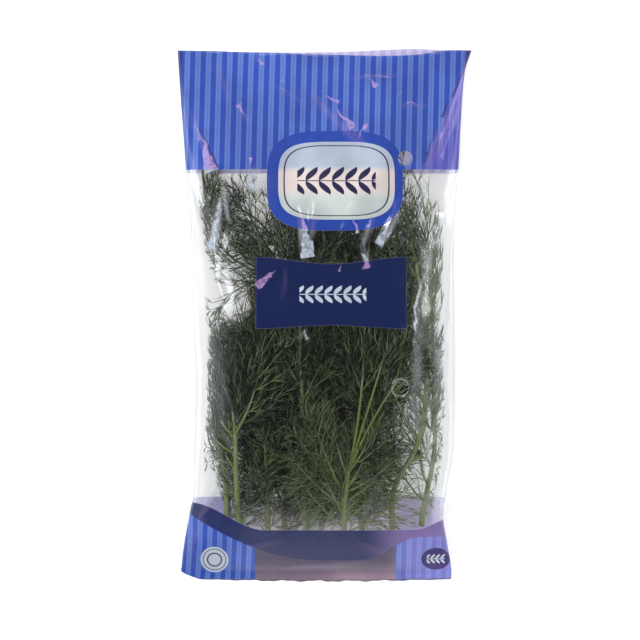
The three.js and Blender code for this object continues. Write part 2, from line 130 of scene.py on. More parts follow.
# Soft loose folds all over both sheets, most of them running along the bag.
LOOSE_FOLD_COUNT, LOOSE_FOLD_SEED = 220, 5
LOOSE_X, LOOSE_Y = (-90, 90), (-165, 168)
LOOSE_TURN, LOOSE_LENGTH = 26, (12, 54)
LOOSE_FLANK, LOOSE_HEIGHT = (2.2, 6.0), (0.15, 0.75)
crumple = np.random.default_rng(LOOSE_FOLD_SEED)
loose_folds = [
    (crumple.uniform(*LOOSE_X), crumple.uniform(*LOOSE_Y),
     90 + crumple.normal(0, LOOSE_TURN), crumple.uniform(*LOOSE_LENGTH),
     crumple.uniform(*LOOSE_FLANK), crumple.uniform(*LOOSE_FLANK), crumple.uniform(*LOOSE_HEIGHT))
    for fold in range(LOOSE_FOLD_COUNT)
]
# Flank shine, partly a painted glint: its share at the ridge, its growth per mm toward the wider
# flank, and the fold height for full shine.
GLINT_START, GLINT_PER_MM, FULL_GLINT_HEIGHT = 0.5, 0.4, 1.5


def fold_rise(x, y, folds):
    """How far folds lift the film at places on the sheet, and how much their flanks shine: partly
    stronger reflection, partly a painted glint.
    """
    rise, flanks = np.zeros_like(x), np.zeros_like(x)
    for middle_x, middle_y, degrees, length, left, right, height in folds:
        angle = np.radians(degrees)
        along = (x - middle_x) * np.cos(angle) + (y - middle_y) * np.sin(angle)
        off = (y - middle_y) * np.cos(angle) - (x - middle_x) * np.sin(angle)
        flank = 1 - np.where(off > 0, off / left, -off / right)
        taper = 1 - (2 * along / length) ** 2
        lift = np.clip(flank, 0, 1) * np.clip(taper, 0, 1)
        rise += height * lift
        toward_wider = off if left > right else -off
        flank_glint = np.clip(2 * lift, 0, 1) * np.clip(GLINT_START + GLINT_PER_MM * toward_wider, 0, 1)
        flanks = np.maximum(flanks, flank_glint * min(height / FULL_GLINT_HEIGHT, 1))
    return rise, flanks


SHEET_COLUMNS, ROWS, COLUMN_CROWDING = 98, 200, 1.0
FOLD_LIMIT, LOOSE_SHARE = 2.6, 0.8
BACK_SHIFT, BACK_SHARE, BACK_LIMIT = (9, -13), 0.25, 1.2
# Ripples, each a height, a step along X and a start: the front and back sheets' at the
# mouth, and the end's small teeth, whose steps are counted on the width from -1 to 1.
FRONT_RIPPLES, BACK_RIPPLE = [(1.1, 15, 0.6), (0.6, 6.1, 0)], (0.7, 19)
END_TEETH = [(1, 24, 0), (0.6, 61, 1)]
# The side folds keep the film flat, and near them it lifts outward as well as up.
SIDE_STIFFNESS, OUTWARD, OUTWARD_POWER = 12, 0.85, 5
WELD_START_Y, WELD_BLEND = -160.0, 4
WELD_HEIGHT, WELD_WAVE, WELD_WAVE_STEPS = 0.6, 0.35, (11, 27)
HALF_WELD_GAP, CLOSED_LENGTH = 0.15, 0.5
LAST_Y = STATIONS[-1, 0]
HOLES, HOLE_LIP = [(51.4, 100.6, 4.7), (47.6, -45.0, 4.9)], 0.25
FLAT_WIDTH_SHARE, MAP_LIMIT = 0.98, 0.999
FILM_THICKNESS, SAME_PLACE = 0.1 * MM, 0.02 * MM

bpy.ops.mesh.primitive_grid_add(
    x_subdivisions=2 * SHEET_COLUMNS, y_subdivisions=ROWS, size=1, calc_uvs=True)
film = bpy.context.object
film.name = "film_bag_film"
grid = np.empty(len(film.data.vertices) * 3)
film.data.vertices.foreach_get("co", grid)
grid = grid.reshape(-1, 3)

# Rolls the grid into the tube: its first half is the front sheet, from the left fold to the
# right one, and its second half is the back sheet on the way back.
turn = 4 * (grid[:, 0] + 0.5) - 1
is_front = turn <= 1
across = np.sin(COLUMN_CROWDING * np.where(is_front, turn, 2 - turn)) / np.sin(COLUMN_CROWDING)
sheet_y = MOUTH_Y + (0.5 - grid[:, 1]) * (LAST_Y - MOUTH_Y)
middle, half, height = station_at(sheet_y)
near_mouth = np.clip(1 - (MOUTH_Y - sheet_y) / SAG_REACH, 0, 1)
flat_x = HALF_FLAT_WIDTH * across
front_sag = np.interp(flat_x, FRONT_SAG[:, 0], FRONT_SAG[:, 1])
back_sag = np.interp(flat_x, BACK_SAG[:, 0], BACK_SAG[:, 1])
sag = near_mouth ** 2 * np.where(is_front, front_sag, back_sag)
bow_start = STATIONS[-2, 0]
at_end = np.clip((bow_start - sheet_y) / (bow_start - LAST_Y), 0, 1)
uneven = END_WAVE * sum(tall * np.sin(step * across + start) for tall, step, start in END_TEETH)
bow = at_end * (END_BOW - END_WAVE + uneven) * (1 - across ** 2)

x = middle + half * across
y = sheet_y - sag - bow
z = np.where(is_front, front_height(height, across), back_height(height, across))

free = 1 - np.abs(across) ** SIDE_STIFFNESS
welded = np.clip((WELD_START_Y - sheet_y) / WELD_BLEND, 0, 1)
pinched_rise, creased = fold_rise(x, y, PINCHED_FOLDS)
loose_rise = fold_rise(x, y, loose_folds)[0]
rise = np.minimum(pinched_rise + LOOSE_SHARE * loose_rise, FOLD_LIMIT)
ripple = sum(tall * np.sin(x / step + start) for tall, step, start in FRONT_RIPPLES)
back_folds = fold_rise(x + BACK_SHIFT[0], y + BACK_SHIFT[1], loose_folds)[0]
back_ripple = BACK_RIPPLE[0] * near_mouth * (1 + np.sin(x / BACK_RIPPLE[1]))
back_rise = np.minimum(BACK_SHARE * back_folds + back_ripple, BACK_LIMIT)
lift = np.where(is_front, rise + near_mouth ** 2 * ripple, back_rise)
lift = lift * free * (1 - welded)
slope = np.where(is_front, OUTWARD * across ** OUTWARD_POWER, 0)
x = x + lift * slope
z = np.maximum(z + lift * np.sqrt(1 - slope ** 2), 0)
short_step, long_step = WELD_WAVE_STEPS
weld_z = WELD_HEIGHT + WELD_WAVE * np.sin(x / short_step) * np.sin(x / long_step + 1)
z = z * (1 - welded) + welded * (weld_z + np.where(is_front, HALF_WELD_GAP, -HALF_WELD_GAP))
z = np.where(sheet_y < LAST_Y + CLOSED_LENGTH, weld_z, z)
film.data.vertices.foreach_set("co", (np.stack([x, y, z], 1) * MM).ravel())

# Where the print's left and right edges lie at some places along the bag.
PRINT_EDGES = np.array([
    (170, -93, 92), (93, -95, 90), (0, -92, 88), (-111, -90, 84), (-145, -91, 82),
    (-168.4, -93, 82),
], float)

# The film's own map, in millimetres: round the bag from the middle of the front, and along.
loop_vertex = np.empty(len(film.data.loops), int)
film.data.loops.foreach_get("vertex_index", loop_vertex)
print_left = np.interp(-sheet_y, -PRINT_EDGES[:, 0], PRINT_EDGES[:, 1])
print_right = np.interp(-sheet_y, -PRINT_EDGES[:, 0], PRINT_EDGES[:, 2])
print_across = (2 * x - print_left - print_right) / (print_right - print_left)
print_across = np.clip(print_across, -MAP_LIMIT, MAP_LIMIT)
round_bag = np.where(is_front, print_across, 2 - print_across) * HALF_FLAT_WIDTH
crease = film.data.attributes.new("crease", "FLOAT", "POINT")
crease.data.foreach_set("value", np.where(is_front, creased, 0))
film.data.uv_layers[0].name = "film_map"
film.data.uv_layers[0].data.foreach_set(
    "uv", np.stack([round_bag[loop_vertex], sheet_y[loop_vertex]], 1).ravel())

# Punches the holes, rounds their edges, and joins the tube along its fold and its weld.
bpy.ops.object.mode_set(mode="EDIT")
bpy.ops.mesh.select_all(action="DESELECT")
bpy.ops.object.mode_set(mode="OBJECT")
vertex_is_front = is_front & (np.abs(across) < FLAT_WIDTH_SHARE)
for face in film.data.polygons:
    centre = face.center / MM
    face.select = bool(vertex_is_front[face.vertices[0]]) and any(
        (centre.x - hole_x) ** 2 + (centre.y - hole_y) ** 2 < radius ** 2
        for hole_x, hole_y, radius in HOLES)
bpy.ops.object.mode_set(mode="EDIT")
bpy.ops.mesh.delete(type="FACE")
bpy.ops.mesh.select_all(action="SELECT")
bpy.ops.mesh.remove_doubles(threshold=SAME_PLACE)
bpy.ops.mesh.select_all(action="DESELECT")
bpy.ops.mesh.select_mode(type="VERT")
bpy.ops.mesh.select_non_manifold()
bpy.ops.object.mode_set(mode="OBJECT")
for vertex in film.data.vertices:
    for hole_x, hole_y, radius in HOLES:
        spoke = Vector((vertex.co.x / MM - hole_x, vertex.co.y / MM - hole_y))
        if vertex.select and spoke.length < 2 * radius:
            spoke = spoke.normalized() * radius
            vertex.co.x = (hole_x + spoke.x) * MM
            vertex.co.y = (hole_y + spoke.y) * MM
            vertex.co.z += HOLE_LIP * MM


def make_steps(tree):
    """Short ways to add a sum and a mask to a node tree."""
    def join(socket, value):
        if isinstance(value, bpy.types.NodeSocket):
            tree.links.new(value, socket)
        else:
            socket.default_value = value

    def sum_of(operation, *values, clamp=False):
        node = tree.nodes.new("ShaderNodeMath")
        node.operation = operation
        node.use_clamp = clamp
        for socket, value in zip(node.inputs, values):
            join(socket, value)
        return node.outputs[0]

    def blend_of(share, first, second):
        node = tree.nodes.new("ShaderNodeMix")
        node.data_type = "RGBA"
        join(node.inputs["Factor"], share)
        join(node.inputs[6], first)
        join(node.inputs[7], second)
        return node.outputs[2]

    def ramp_of(value, low, high, first, last):
        node = tree.nodes.new("ShaderNodeMapRange")
        node.interpolation_type = "SMOOTHSTEP"
        for socket, given in zip(node.inputs, (value, low, high, first, last)):
            join(socket, given)
        return node.outputs[0]

    def below(value, limit, softness=0.15):
        gap = sum_of("SUBTRACT", limit, value)
        return sum_of("MULTIPLY_ADD", gap, 1 / softness, 0.5, clamp=True)

    return join, sum_of, blend_of, ramp_of, below


def srgb(red, green, blue):
    """A colour given from 0 to 255 as it is seen, in the renderer's own scale."""
    seen = np.array([red, green, blue]) / 255
    linear = np.where(seen <= 0.04045, seen / 12.92, ((seen + 0.055) / 1.055) ** 2.4)
    return (*linear, 1.0)


# The print: which places carry ink, its colour from outside, and the paler backing coat
# that shows from inside.
FRONT_HEADER_Y, BACK_HEADER_Y = 93.4, 91.4
STRIPE_PERIOD = 6.9
DEEP_BLUE, LIGHT_BLUE, SOFT_BLUE = srgb(48, 80, 178), srgb(98, 128, 204), srgb(86, 116, 198)
SOLID_BLUE, NAVY, LABEL_NAVY = srgb(38, 74, 172), srgb(26, 40, 88), srgb(16, 32, 74)
MARK_WHITE, PANEL_TOP = srgb(200, 210, 222), srgb(186, 198, 214)
PANEL_MIDDLE, PANEL_FOOT = srgb(236, 222, 216), srgb(202, 212, 208)
GREY_ROSE, PALE_ROSE, DARK_MARK = srgb(74, 68, 92), srgb(168, 142, 158), srgb(40, 40, 70)
BADGE_VIOLET, PAINTED_SHADE_NAVY = srgb(66, 50, 110), srgb(16, 24, 70)
NAVY_SHEEN, STRIPE_SHEEN = srgb(178, 150, 214), srgb(190, 176, 242)
BACKING, STRIPE_BACKING = srgb(188, 178, 234), srgb(212, 204, 246)
LEFT_BACKING, RIGHT_BACKING = srgb(150, 142, 228), srgb(246, 234, 250)
GLINT_LILAC, CREASE_NAVY, SHADED_VIOLET = srgb(208, 170, 222), srgb(44, 36, 96), srgb(104, 84, 180)

# Places and sizes on the film, in millimetres. A plate has its middle, half width, half
# height and roundness. A twig has its middle, half length, leaf step and leaf length. A
# change has where it starts and ends, and its value at both. Stripes have a half width and
# a softness, and rings a place and a half width, as shares. The label's top and bottom have
# how far they flare at the ends, and their place in the middle.
STRIPE_START = 298.8
ALMOND_SLANT, ALMOND_START, ALMOND_BELLY, HALF_LINE = 0.8, 200, 1.25, 0.28
LIGHT_HALF, CORE_HALF = (0.25, 0.03), (0.09, 0.06)
SURROUND, PANEL = (6.6, 86.0, 43.3, 32.0, 3.2), (7.6, 86.0, 37.0, 25.0, 3.6)
PANEL_TWIG, PANEL_LINE = (7.6, 86.0, 25.0, 8.4, 9.0), (0.9, 0.012, 0.008)
PANEL_WARM_FROM, PANEL_COOL_FROM = (72, 84, 0, 1), (91, 96, 0, 1)
LABEL_X, LABEL_HALF_WIDTH, LABEL_FLARE = 4.2, 47.4, (0, 47.5, 0, 1)
LABEL_TOP, LABEL_BOTTOM = (4.4, 32.8), (-2.2, -5.8)
LABEL_TWIG = (5.2, 13.6, 21.0, 6.0, 5.6)
BAND_Y, BACK_BAND_Y = -135.6, -115.5
BAND_RISE_LEFT, BAND_RISE_RIGHT = (-84, -38, 17, 0), (58, 80, 0, 6.5)
CUP_Y, CUP_START, CUP_WIDTH, CUP_POWER, CUP_RISE = -155.5, -8, 72, 1.7, 26
CUP_RISE_RIGHT = (24, 60, 0, 15)
ROSE_X, ROSE_HALF_WIDTH = 0.6, 45.0
ROSE_FADE_UP, ROSE_FADE_LEFT = (-170, -154, 1, 0), (-20, 30, 0.45, 1)
NAVY_SHEEN_FROM, STRIPE_SHEEN_FROM = (24, 56, 0, 0.5), (38, 56, 0, 0.36)
SEAL, SEAL_RING, SEAL_CORE = (-70.2, -155.4, 8.9, 8.5, 2), (0.82, 0.03), (0.5, 0.05)
BADGE, BADGE_TWIG = (71.0, -155.0, 9.3, 7.2, 2), (71.0, -155.0, 5.8, 3.2, 3.2)
PALE_BACKING_FROM, BLUE_BACKING_FROM = (-66, -40, 0, 1), (42, 52, 0, 0.7)
SHADE_LEAN, SHADE_FROM, FOLD_SHADE_FROM = -0.43, (19.5, 25, 0, 0.5), (90.5, 93, 0, 0.7)
# Noises, each a scale and a detail, for the fine crinkle, the speckle that breaks up the painted
# glints, and the soft patches of painted shade; and the ranges of the last two.
FINE_NOISE, SPECKLE_NOISE, SHADE_PATCH_NOISE = (160, 4), (340, 3), (28, 3)
SPECKLE_RANGE, SHADE_PATCH_RANGE = (0.36, 0.6, 0.5, 1.0), (0.35, 0.65, 0.0, 0.26)
WOBBLE, CREASE_WOBBLE = 7, 0.6
CREASE_SHARE, GLINT_SHARE, FACET_STRENGTH = 0.75, 0.6, 1.6

printing = bpy.data.node_groups.new("film_print", "ShaderNodeTree")
for name in ("Ink", "Backing"):
    printing.interface.new_socket(name, in_out="OUTPUT", socket_type="NodeSocketColor")
for name in ("Cover", "Crinkle", "Facet"):
    printing.interface.new_socket(name, in_out="OUTPUT", socket_type="NodeSocketFloat")
join, sum_of, blend_of, ramp_of, below = make_steps(printing)

place = printing.nodes.new("ShaderNodeTexCoord").outputs["Object"]
split_place = printing.nodes.new("ShaderNodeSeparateXYZ")
join(split_place.inputs[0], place)
across_mm = sum_of("MULTIPLY", split_place.outputs[0], 1 / MM)
along_mm = sum_of("MULTIPLY", split_place.outputs[1], 1 / MM)
film_map = printing.nodes.new("ShaderNodeUVMap")
film_map.uv_map = "film_map"
split_map = printing.nodes.new("ShaderNodeSeparateXYZ")
join(split_map.inputs[0], film_map.outputs[0])
round_mm, sheet_mm = split_map.outputs[0], split_map.outputs[1]
on_front = sum_of("LESS_THAN", round_mm, HALF_FLAT_WIDTH)


def noise_of(scale, detail):
    node = printing.nodes.new("ShaderNodeTexNoise")
    join(node.inputs["Vector"], place)
    node.inputs["Scale"].default_value = scale
    node.inputs["Detail"].default_value = detail
    return node.outputs["Fac"]


def product(first, second):
    return sum_of("MULTIPLY", first, second)


def off_middle(value, middle):
    return sum_of("ABSOLUTE", sum_of("SUBTRACT", value, middle))


fine, speckle, slack = noise_of(*FINE_NOISE), noise_of(*SPECKLE_NOISE), noise_of(*SHADE_PATCH_NOISE)

stripe = sum_of("FRACT", sum_of("DIVIDE", sum_of("ADD", round_mm, STRIPE_START), STRIPE_PERIOD))
off_stripe = off_middle(stripe, 0.5)
is_light_stripe, is_stripe_core = below(off_stripe, *LIGHT_HALF), below(off_stripe, *CORE_HALF)
stripes = blend_of(is_light_stripe, DEEP_BLUE, blend_of(is_stripe_core, LIGHT_BLUE, SOFT_BLUE))
header_y = sum_of("MULTIPLY_ADD", on_front, FRONT_HEADER_Y - BACK_HEADER_Y, BACK_HEADER_Y)
in_header = below(header_y, sheet_mm)


def rounded_plate(middle_x, middle_y, half_x, half_y, power):
    """Distance from a plate's middle, as a share of the way to its rounded edge."""
    far_x = sum_of("DIVIDE", off_middle(across_mm, middle_x), half_x)
    far_y = sum_of("DIVIDE", off_middle(along_mm, middle_y), half_y)
    total = sum_of("ADD", sum_of("POWER", far_x, power), sum_of("POWER", far_y, power))
    return sum_of("POWER", total, 1 / power)


def herb_sprig(middle_x, middle_y, half_length, leaf_step, leaf_length):
    """A plain printed twig: a thin line with almond leaves on both sides."""
    from_middle = sum_of("SUBTRACT", across_mm, middle_x)
    off_line = off_middle(along_mm, middle_y)
    slanted = sum_of("MULTIPLY_ADD", off_line, -ALMOND_SLANT, from_middle)
    phase = sum_of("FRACT", sum_of("DIVIDE", sum_of("ADD", slanted, ALMOND_START), leaf_step))
    off_vein = product(off_middle(phase, 0.5), leaf_step)
    share = sum_of("DIVIDE", off_line, leaf_length)
    belly = product(share, sum_of("SUBTRACT", 1, share))
    leaf = below(off_vein, product(belly, ALMOND_BELLY * leaf_step), softness=0.25)
    line = below(off_line, HALF_LINE)
    in_length = below(sum_of("ABSOLUTE", from_middle), half_length)
    return product(sum_of("MAXIMUM", leaf, line), in_length)


# Where the crumpled film gets painted glints in small facets, and painted shade along its creases:
# each runs from a point at x and y to a foot at x and y, and widens to a width there.
GLINTS = [
    (-30.3, 29.4, -43.1, 19.2, 6.0),
    (-85.9, 134.1, -78.8, 112.4, 2.0),
    (-78.8, 116.3, -71.8, 92.0, 9.6),
    (-48.8, 126.1, -55.2, 134.8, 3.2),
    (-26.5, 156.5, -27.1, 149.4, 1.0),
    (-20.1, 140.5, -27.8, 146.3, 1.0),
    (-43.7, 166.7, -39.3, 160.9, 2.9),
    (-1.6, 139.9, 9.3, 136.7, 3.8),
    (5.4, 134.1, 18.2, 120.1, 5.1),
    (20.1, 111.8, 25.9, 123.3, 3.2),
    (17.6, 154.9, 41.2, 152.3, 1.4),
    (27.8, 152.6, 33.5, 146.9, 3.8),
    (61.6, 135.4, 52.7, 135.8, 2.2),
    (48.8, 139.2, 48.5, 143.7, 1.3),
    (-46.3, 94.5, -46.9, 100.9, 3.2),
    (-64.8, 80.5, -72.5, 42.8, 6.4),
    (-46.3, 93.9, -46.9, 80.5, 5.7),
    (-15.0, 68.4, -9.9, 37.1, 9.6),
    (42.5, 61.4, 33.5, 45.4, 7.0),
    (18.2, 65.2, 20.7, 52.4, 3.2),
    (23.9, 42.8, 26.5, 30.1, 5.1),
    (-13.7, -7.0, -9.9, -14.6, 3.2),
    (10.5, 34.5, 8.6, 28.2, 1.9),
]
DARK_CREASES = [
    (94.8, 170.5, 81.4, 139.9, 2.7),
    (75.7, 131.6, 63.5, 97.7, 2.2),
    (82.7, 143.7, 74.4, 127.1, 2.8),
    (83.3, 141.2, 77.6, 129.0, 1.9),
    (78.2, 131.6, 70.5, 104.1, 1.7),
    (-80.8, 122.6, -68.6, 94.5, 4.5),
    (92.9, 168.6, 90.3, 159.7, 1.9),
]


def facets_of(rows, wobble):
    """A mask of long thin triangles with uneven sides."""
    mask = 0.0
    for point_x, point_y, foot_x, foot_y, width in rows:
        run_x, run_y = foot_x - point_x, foot_y - point_y
        length = (run_x ** 2 + run_y ** 2) ** 0.5
        run_x, run_y = run_x / length, run_y / length
        far = sum_of("MULTIPLY_ADD", across_mm, run_x, -point_x * run_x - point_y * run_y)
        far = sum_of("MULTIPLY_ADD", along_mm, run_y, far)
        off = sum_of("MULTIPLY_ADD", across_mm, -run_y, point_x * run_y - point_y * run_x)
        off = sum_of("MULTIPLY_ADD", along_mm, run_x, off)
        off = sum_of("ABSOLUTE", sum_of("ADD", off, wobble))
        half = product(far, width / 2 / length)
        inside = sum_of("SUBTRACT", half, off, clamp=True)
        inside = product(inside, below(far, length, softness=0.8))
        mask = sum_of("MAXIMUM", mask, inside)
    return sum_of("MULTIPLY", mask, FACET_STRENGTH, clamp=True)


# The crest at the header's foot: a blue surround and a pale plate with a line and a twig.
in_surround = product(below(rounded_plate(*SURROUND), 1, softness=0.004), on_front)
panel = rounded_plate(*PANEL)
in_panel = below(panel, 1, softness=0.005)
line_place, line_half, line_softness = PANEL_LINE
panel_line = below(off_middle(panel, line_place), line_half, line_softness)
panel_marks = sum_of("MAXIMUM", panel_line, herb_sprig(*PANEL_TWIG))
panel_white = blend_of(ramp_of(along_mm, *PANEL_WARM_FROM), PANEL_FOOT, PANEL_MIDDLE)
panel_white = blend_of(ramp_of(along_mm, *PANEL_COOL_FROM), panel_white, PANEL_TOP)

# The small label, whose long edges curve inward.
off_label = off_middle(across_mm, LABEL_X)
label_edge = ramp_of(off_label, *LABEL_FLARE)
label_top = sum_of("MULTIPLY_ADD", label_edge, *LABEL_TOP)
label_bottom = sum_of("MULTIPLY_ADD", label_edge, *LABEL_BOTTOM)
in_label = product(below(along_mm, label_top), below(label_bottom, along_mm))
in_label = product(product(in_label, below(off_label, LABEL_HALF_WIDTH)), on_front)

# The band at the foot: a navy cup over stripes and a rose middle, lighter to the right, where it has
# a painted sheen.
rises = sum_of("ADD", ramp_of(across_mm, *BAND_RISE_LEFT), ramp_of(across_mm, *BAND_RISE_RIGHT))
front_top = product(on_front, sum_of("ADD", rises, BAND_Y))
back_top = product(sum_of("SUBTRACT", 1, on_front), BACK_BAND_Y)
in_band = below(along_mm, sum_of("ADD", front_top, back_top), softness=0.4)
left_of_cup = sum_of("MULTIPLY_ADD", across_mm, -1 / CUP_WIDTH, CUP_START / CUP_WIDTH)
cup_left = sum_of("POWER", sum_of("MAXIMUM", left_of_cup, 0), CUP_POWER)
cup = sum_of("ADD", sum_of("MULTIPLY_ADD", cup_left, CUP_RISE, CUP_Y),
             ramp_of(across_mm, *CUP_RISE_RIGHT))
rose = product(ramp_of(along_mm, *ROSE_FADE_UP), ramp_of(across_mm, *ROSE_FADE_LEFT))
in_rose = below(off_middle(across_mm, ROSE_X), ROSE_HALF_WIDTH, softness=0.3)
band_under = blend_of(in_rose, stripes, blend_of(rose, GREY_ROSE, PALE_ROSE))
navy_sheen = blend_of(ramp_of(across_mm, *NAVY_SHEEN_FROM), NAVY, NAVY_SHEEN)
stripe_sheen = blend_of(ramp_of(across_mm, *STRIPE_SHEEN_FROM), band_under, STRIPE_SHEEN)
band_colour = blend_of(below(along_mm, cup, softness=0.6), navy_sheen, stripe_sheen)

# The band's round seal with rings, and its oval badge with a twig.
seal = rounded_plate(*SEAL)
seal_ring = below(off_middle(seal, SEAL_RING[0]), SEAL_RING[1], softness=0.03)
seal_core = below(off_middle(seal, SEAL_CORE[0]), SEAL_CORE[1], softness=0.03)
in_seal = below(seal, 1, softness=0.02)
in_badge = below(rounded_plate(*BADGE), 1, softness=0.02)

ink = blend_of(in_header, LABEL_NAVY, stripes)
ink = blend_of(in_surround, ink, SOLID_BLUE)
ink = blend_of(product(in_panel, on_front), ink, panel_white)
ink = blend_of(product(product(panel_marks, in_panel), on_front), ink, DARK_MARK)
ink = blend_of(product(in_label, herb_sprig(*LABEL_TWIG)), ink, MARK_WHITE)
ink = blend_of(in_band, ink, band_colour)
ink = blend_of(product(in_seal, on_front), ink, MARK_WHITE)
ink = blend_of(product(sum_of("MAXIMUM", seal_ring, seal_core), on_front), ink, DARK_MARK)
ink = blend_of(product(in_badge, on_front), ink, BADGE_VIOLET)
ink = blend_of(product(product(in_badge, herb_sprig(*BADGE_TWIG)), on_front), ink, MARK_WHITE)
cover = sum_of("MAXIMUM", in_header, in_band)
cover = sum_of("MAXIMUM", cover, sum_of("MAXIMUM", in_surround, in_label), clamp=True)
backing = blend_of(product(is_light_stripe, in_header), BACKING, STRIPE_BACKING)
band_backing = blend_of(ramp_of(across_mm, *PALE_BACKING_FROM), LEFT_BACKING, RIGHT_BACKING)
band_backing = blend_of(ramp_of(across_mm, *BLUE_BACKING_FROM), band_backing, LEFT_BACKING)
backing = blend_of(in_band, backing, band_backing)

# The ink is darkened in soft patches of painted shade from the crumpled film. It has painted
# shade right of the long crease and along creases and side folds, and a painted lilac glint
# where the facets catch the light.
wobble = sum_of("MULTIPLY_ADD", fine, WOBBLE, -WOBBLE / 2)
broken = ramp_of(speckle, *SPECKLE_RANGE)
glint_facets = product(facets_of(GLINTS, wobble), product(broken, on_front))
dark_creases = product(facets_of(DARK_CREASES, product(wobble, CREASE_WOBBLE)), on_front)
ink = blend_of(ramp_of(slack, *SHADE_PATCH_RANGE), ink, PAINTED_SHADE_NAVY)
from_crease = sum_of("MULTIPLY_ADD", along_mm, SHADE_LEAN, across_mm)
ink = blend_of(product(ramp_of(from_crease, *SHADE_FROM), in_header), ink, SHADED_VIOLET)
near_fold = ramp_of(sum_of("ABSOLUTE", round_mm), *FOLD_SHADE_FROM)
ink = blend_of(product(near_fold, in_header), ink, CREASE_NAVY)
ink = blend_of(product(dark_creases, CREASE_SHARE), ink, CREASE_NAVY)
ink = blend_of(product(glint_facets, GLINT_SHARE), ink, GLINT_LILAC)

group_out = printing.nodes.new("NodeGroupOutput")
join(group_out.inputs["Ink"], ink)
join(group_out.inputs["Backing"], backing)
join(group_out.inputs["Cover"], cover)
join(group_out.inputs["Crinkle"], fine)
join(group_out.inputs["Facet"], glint_facets)

CLEAR_TINT, CLEAR_GLOSS, GRAZING_LIMIT, CREASE_GLOSS, INK_GLINT = 0.05, 0.7, 0.35, 0.25, 0.12
# The whitish colour of the painted glint on clear film, its share on crease flanks, and how far glint
# facets make the film opaque.
PAINTED_GLINT_WHITE, PAINTED_GLINT_SHARE, FACET_COVER = srgb(190, 204, 222), 0.8, 0.62
MIRROR_TINT, GLINT_TINT = (0.93, 0.95, 1.0, 1), (0.8, 0.56, 1.0, 1)
INK_COVER, BACKING_COVER = 0.95, 0.38
FILM_IOR, FILM_ROUGHNESS = 1.5, 0.12
CRINKLE_DEPTH, CRINKLE_STRENGTH = 0.4 * MM, 0.2


def make_film(name, colour_output, ink_cover):
    """Film that mirrors a little where it is clear, and is glossy ink where it is printed."""
    material = bpy.data.materials.new(name)
    material.use_nodes = True
    tree = material.node_tree
    join, sum_of, blend_of, _, _ = make_steps(tree)
    shader = tree.nodes["Principled BSDF"]
    pattern = tree.nodes.new("ShaderNodeGroup")
    pattern.node_tree = printing
    cover = pattern.outputs["Cover"]
    edge_on = tree.nodes.new("ShaderNodeFresnel")
    edge_on.inputs["IOR"].default_value = FILM_IOR
    mirrored = sum_of("MINIMUM", edge_on.outputs[0], GRAZING_LIMIT)
    clear_alpha = sum_of("MULTIPLY_ADD", mirrored, CLEAR_GLOSS, CLEAR_TINT)
    crease = tree.nodes.new("ShaderNodeAttribute")
    crease.attribute_name = "crease"
    clear_alpha = sum_of("MULTIPLY_ADD", crease.outputs["Fac"], CREASE_GLOSS, clear_alpha)
    facet = pattern.outputs["Facet"]
    clear_alpha = sum_of("MULTIPLY_ADD", facet, FACET_COVER, clear_alpha, clamp=True)
    glint = sum_of("MULTIPLY_ADD", crease.outputs["Fac"], -INK_GLINT, 1)
    # Crease flanks and glint facets on clear film get a painted whitish glint.
    painted_glint = sum_of("MULTIPLY", crease.outputs["Fac"], PAINTED_GLINT_SHARE)
    painted_glint = sum_of("MAXIMUM", painted_glint, facet)
    clear = sum_of("SUBTRACT", 1, cover)
    matte = sum_of("MULTIPLY_ADD", clear, painted_glint, sum_of("MULTIPLY", cover, glint))
    from_behind = tree.nodes.new("ShaderNodeNewGeometry").outputs["Backfacing"]
    coat = blend_of(from_behind, pattern.outputs[colour_output], pattern.outputs["Backing"])
    coat = blend_of(cover, PAINTED_GLINT_WHITE, coat)
    covering = sum_of("MULTIPLY_ADD", from_behind, BACKING_COVER - ink_cover, ink_cover)
    gap = sum_of("SUBTRACT", covering, clear_alpha)
    bump = tree.nodes.new("ShaderNodeBump")
    bump.inputs["Distance"].default_value = CRINKLE_DEPTH
    bump.inputs["Strength"].default_value = CRINKLE_STRENGTH
    join(bump.inputs["Height"], pattern.outputs["Crinkle"])
    join(shader.inputs["Normal"], bump.outputs[0])
    gloss = blend_of(cover, MIRROR_TINT, GLINT_TINT)
    join(shader.inputs["Base Color"], blend_of(matte, gloss, coat))
    join(shader.inputs["Metallic"], sum_of("SUBTRACT", 1, matte))
    join(shader.inputs["Alpha"], sum_of("MULTIPLY_ADD", cover, gap, clear_alpha))
    shader.inputs["Roughness"].default_value = FILM_ROUGHNESS
    return material


film.data.materials.append(make_film("film_outside", "Ink", INK_COVER))
film.data.materials.append(make_film("film_inside", "Backing", BACKING_COVER))

wall = film.modifiers.new("wall", "SOLIDIFY")
wall.thickness = FILM_THICKNESS
wall.offset = -1
wall.material_offset = 1
bpy.ops.object.modifier_apply(modifier=wall.name)
bpy.ops.object.shade_smooth()
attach(film, "root")
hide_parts("film_bag")

# ---------------------------------------------------------------------------------------
# The dill. Ten cut sprigs lie in layers from the back sheet to the front one. Each has a
# stem and five large leaves, and each leaf has pairs of side branches that part again into
# twigs and threads. Short young leaves crowd one stretch of each stem.

# How far stems and finer limbs keep from the sheets and from the bag's edges, and how much
# farther, as a share, from the side folds.
STEM_MARGIN, FILM_MARGIN, EDGE_MARGIN, FOLD_MARGIN = 2.9, 0.6, 4.0, 1.0
LAST_RANK = 9
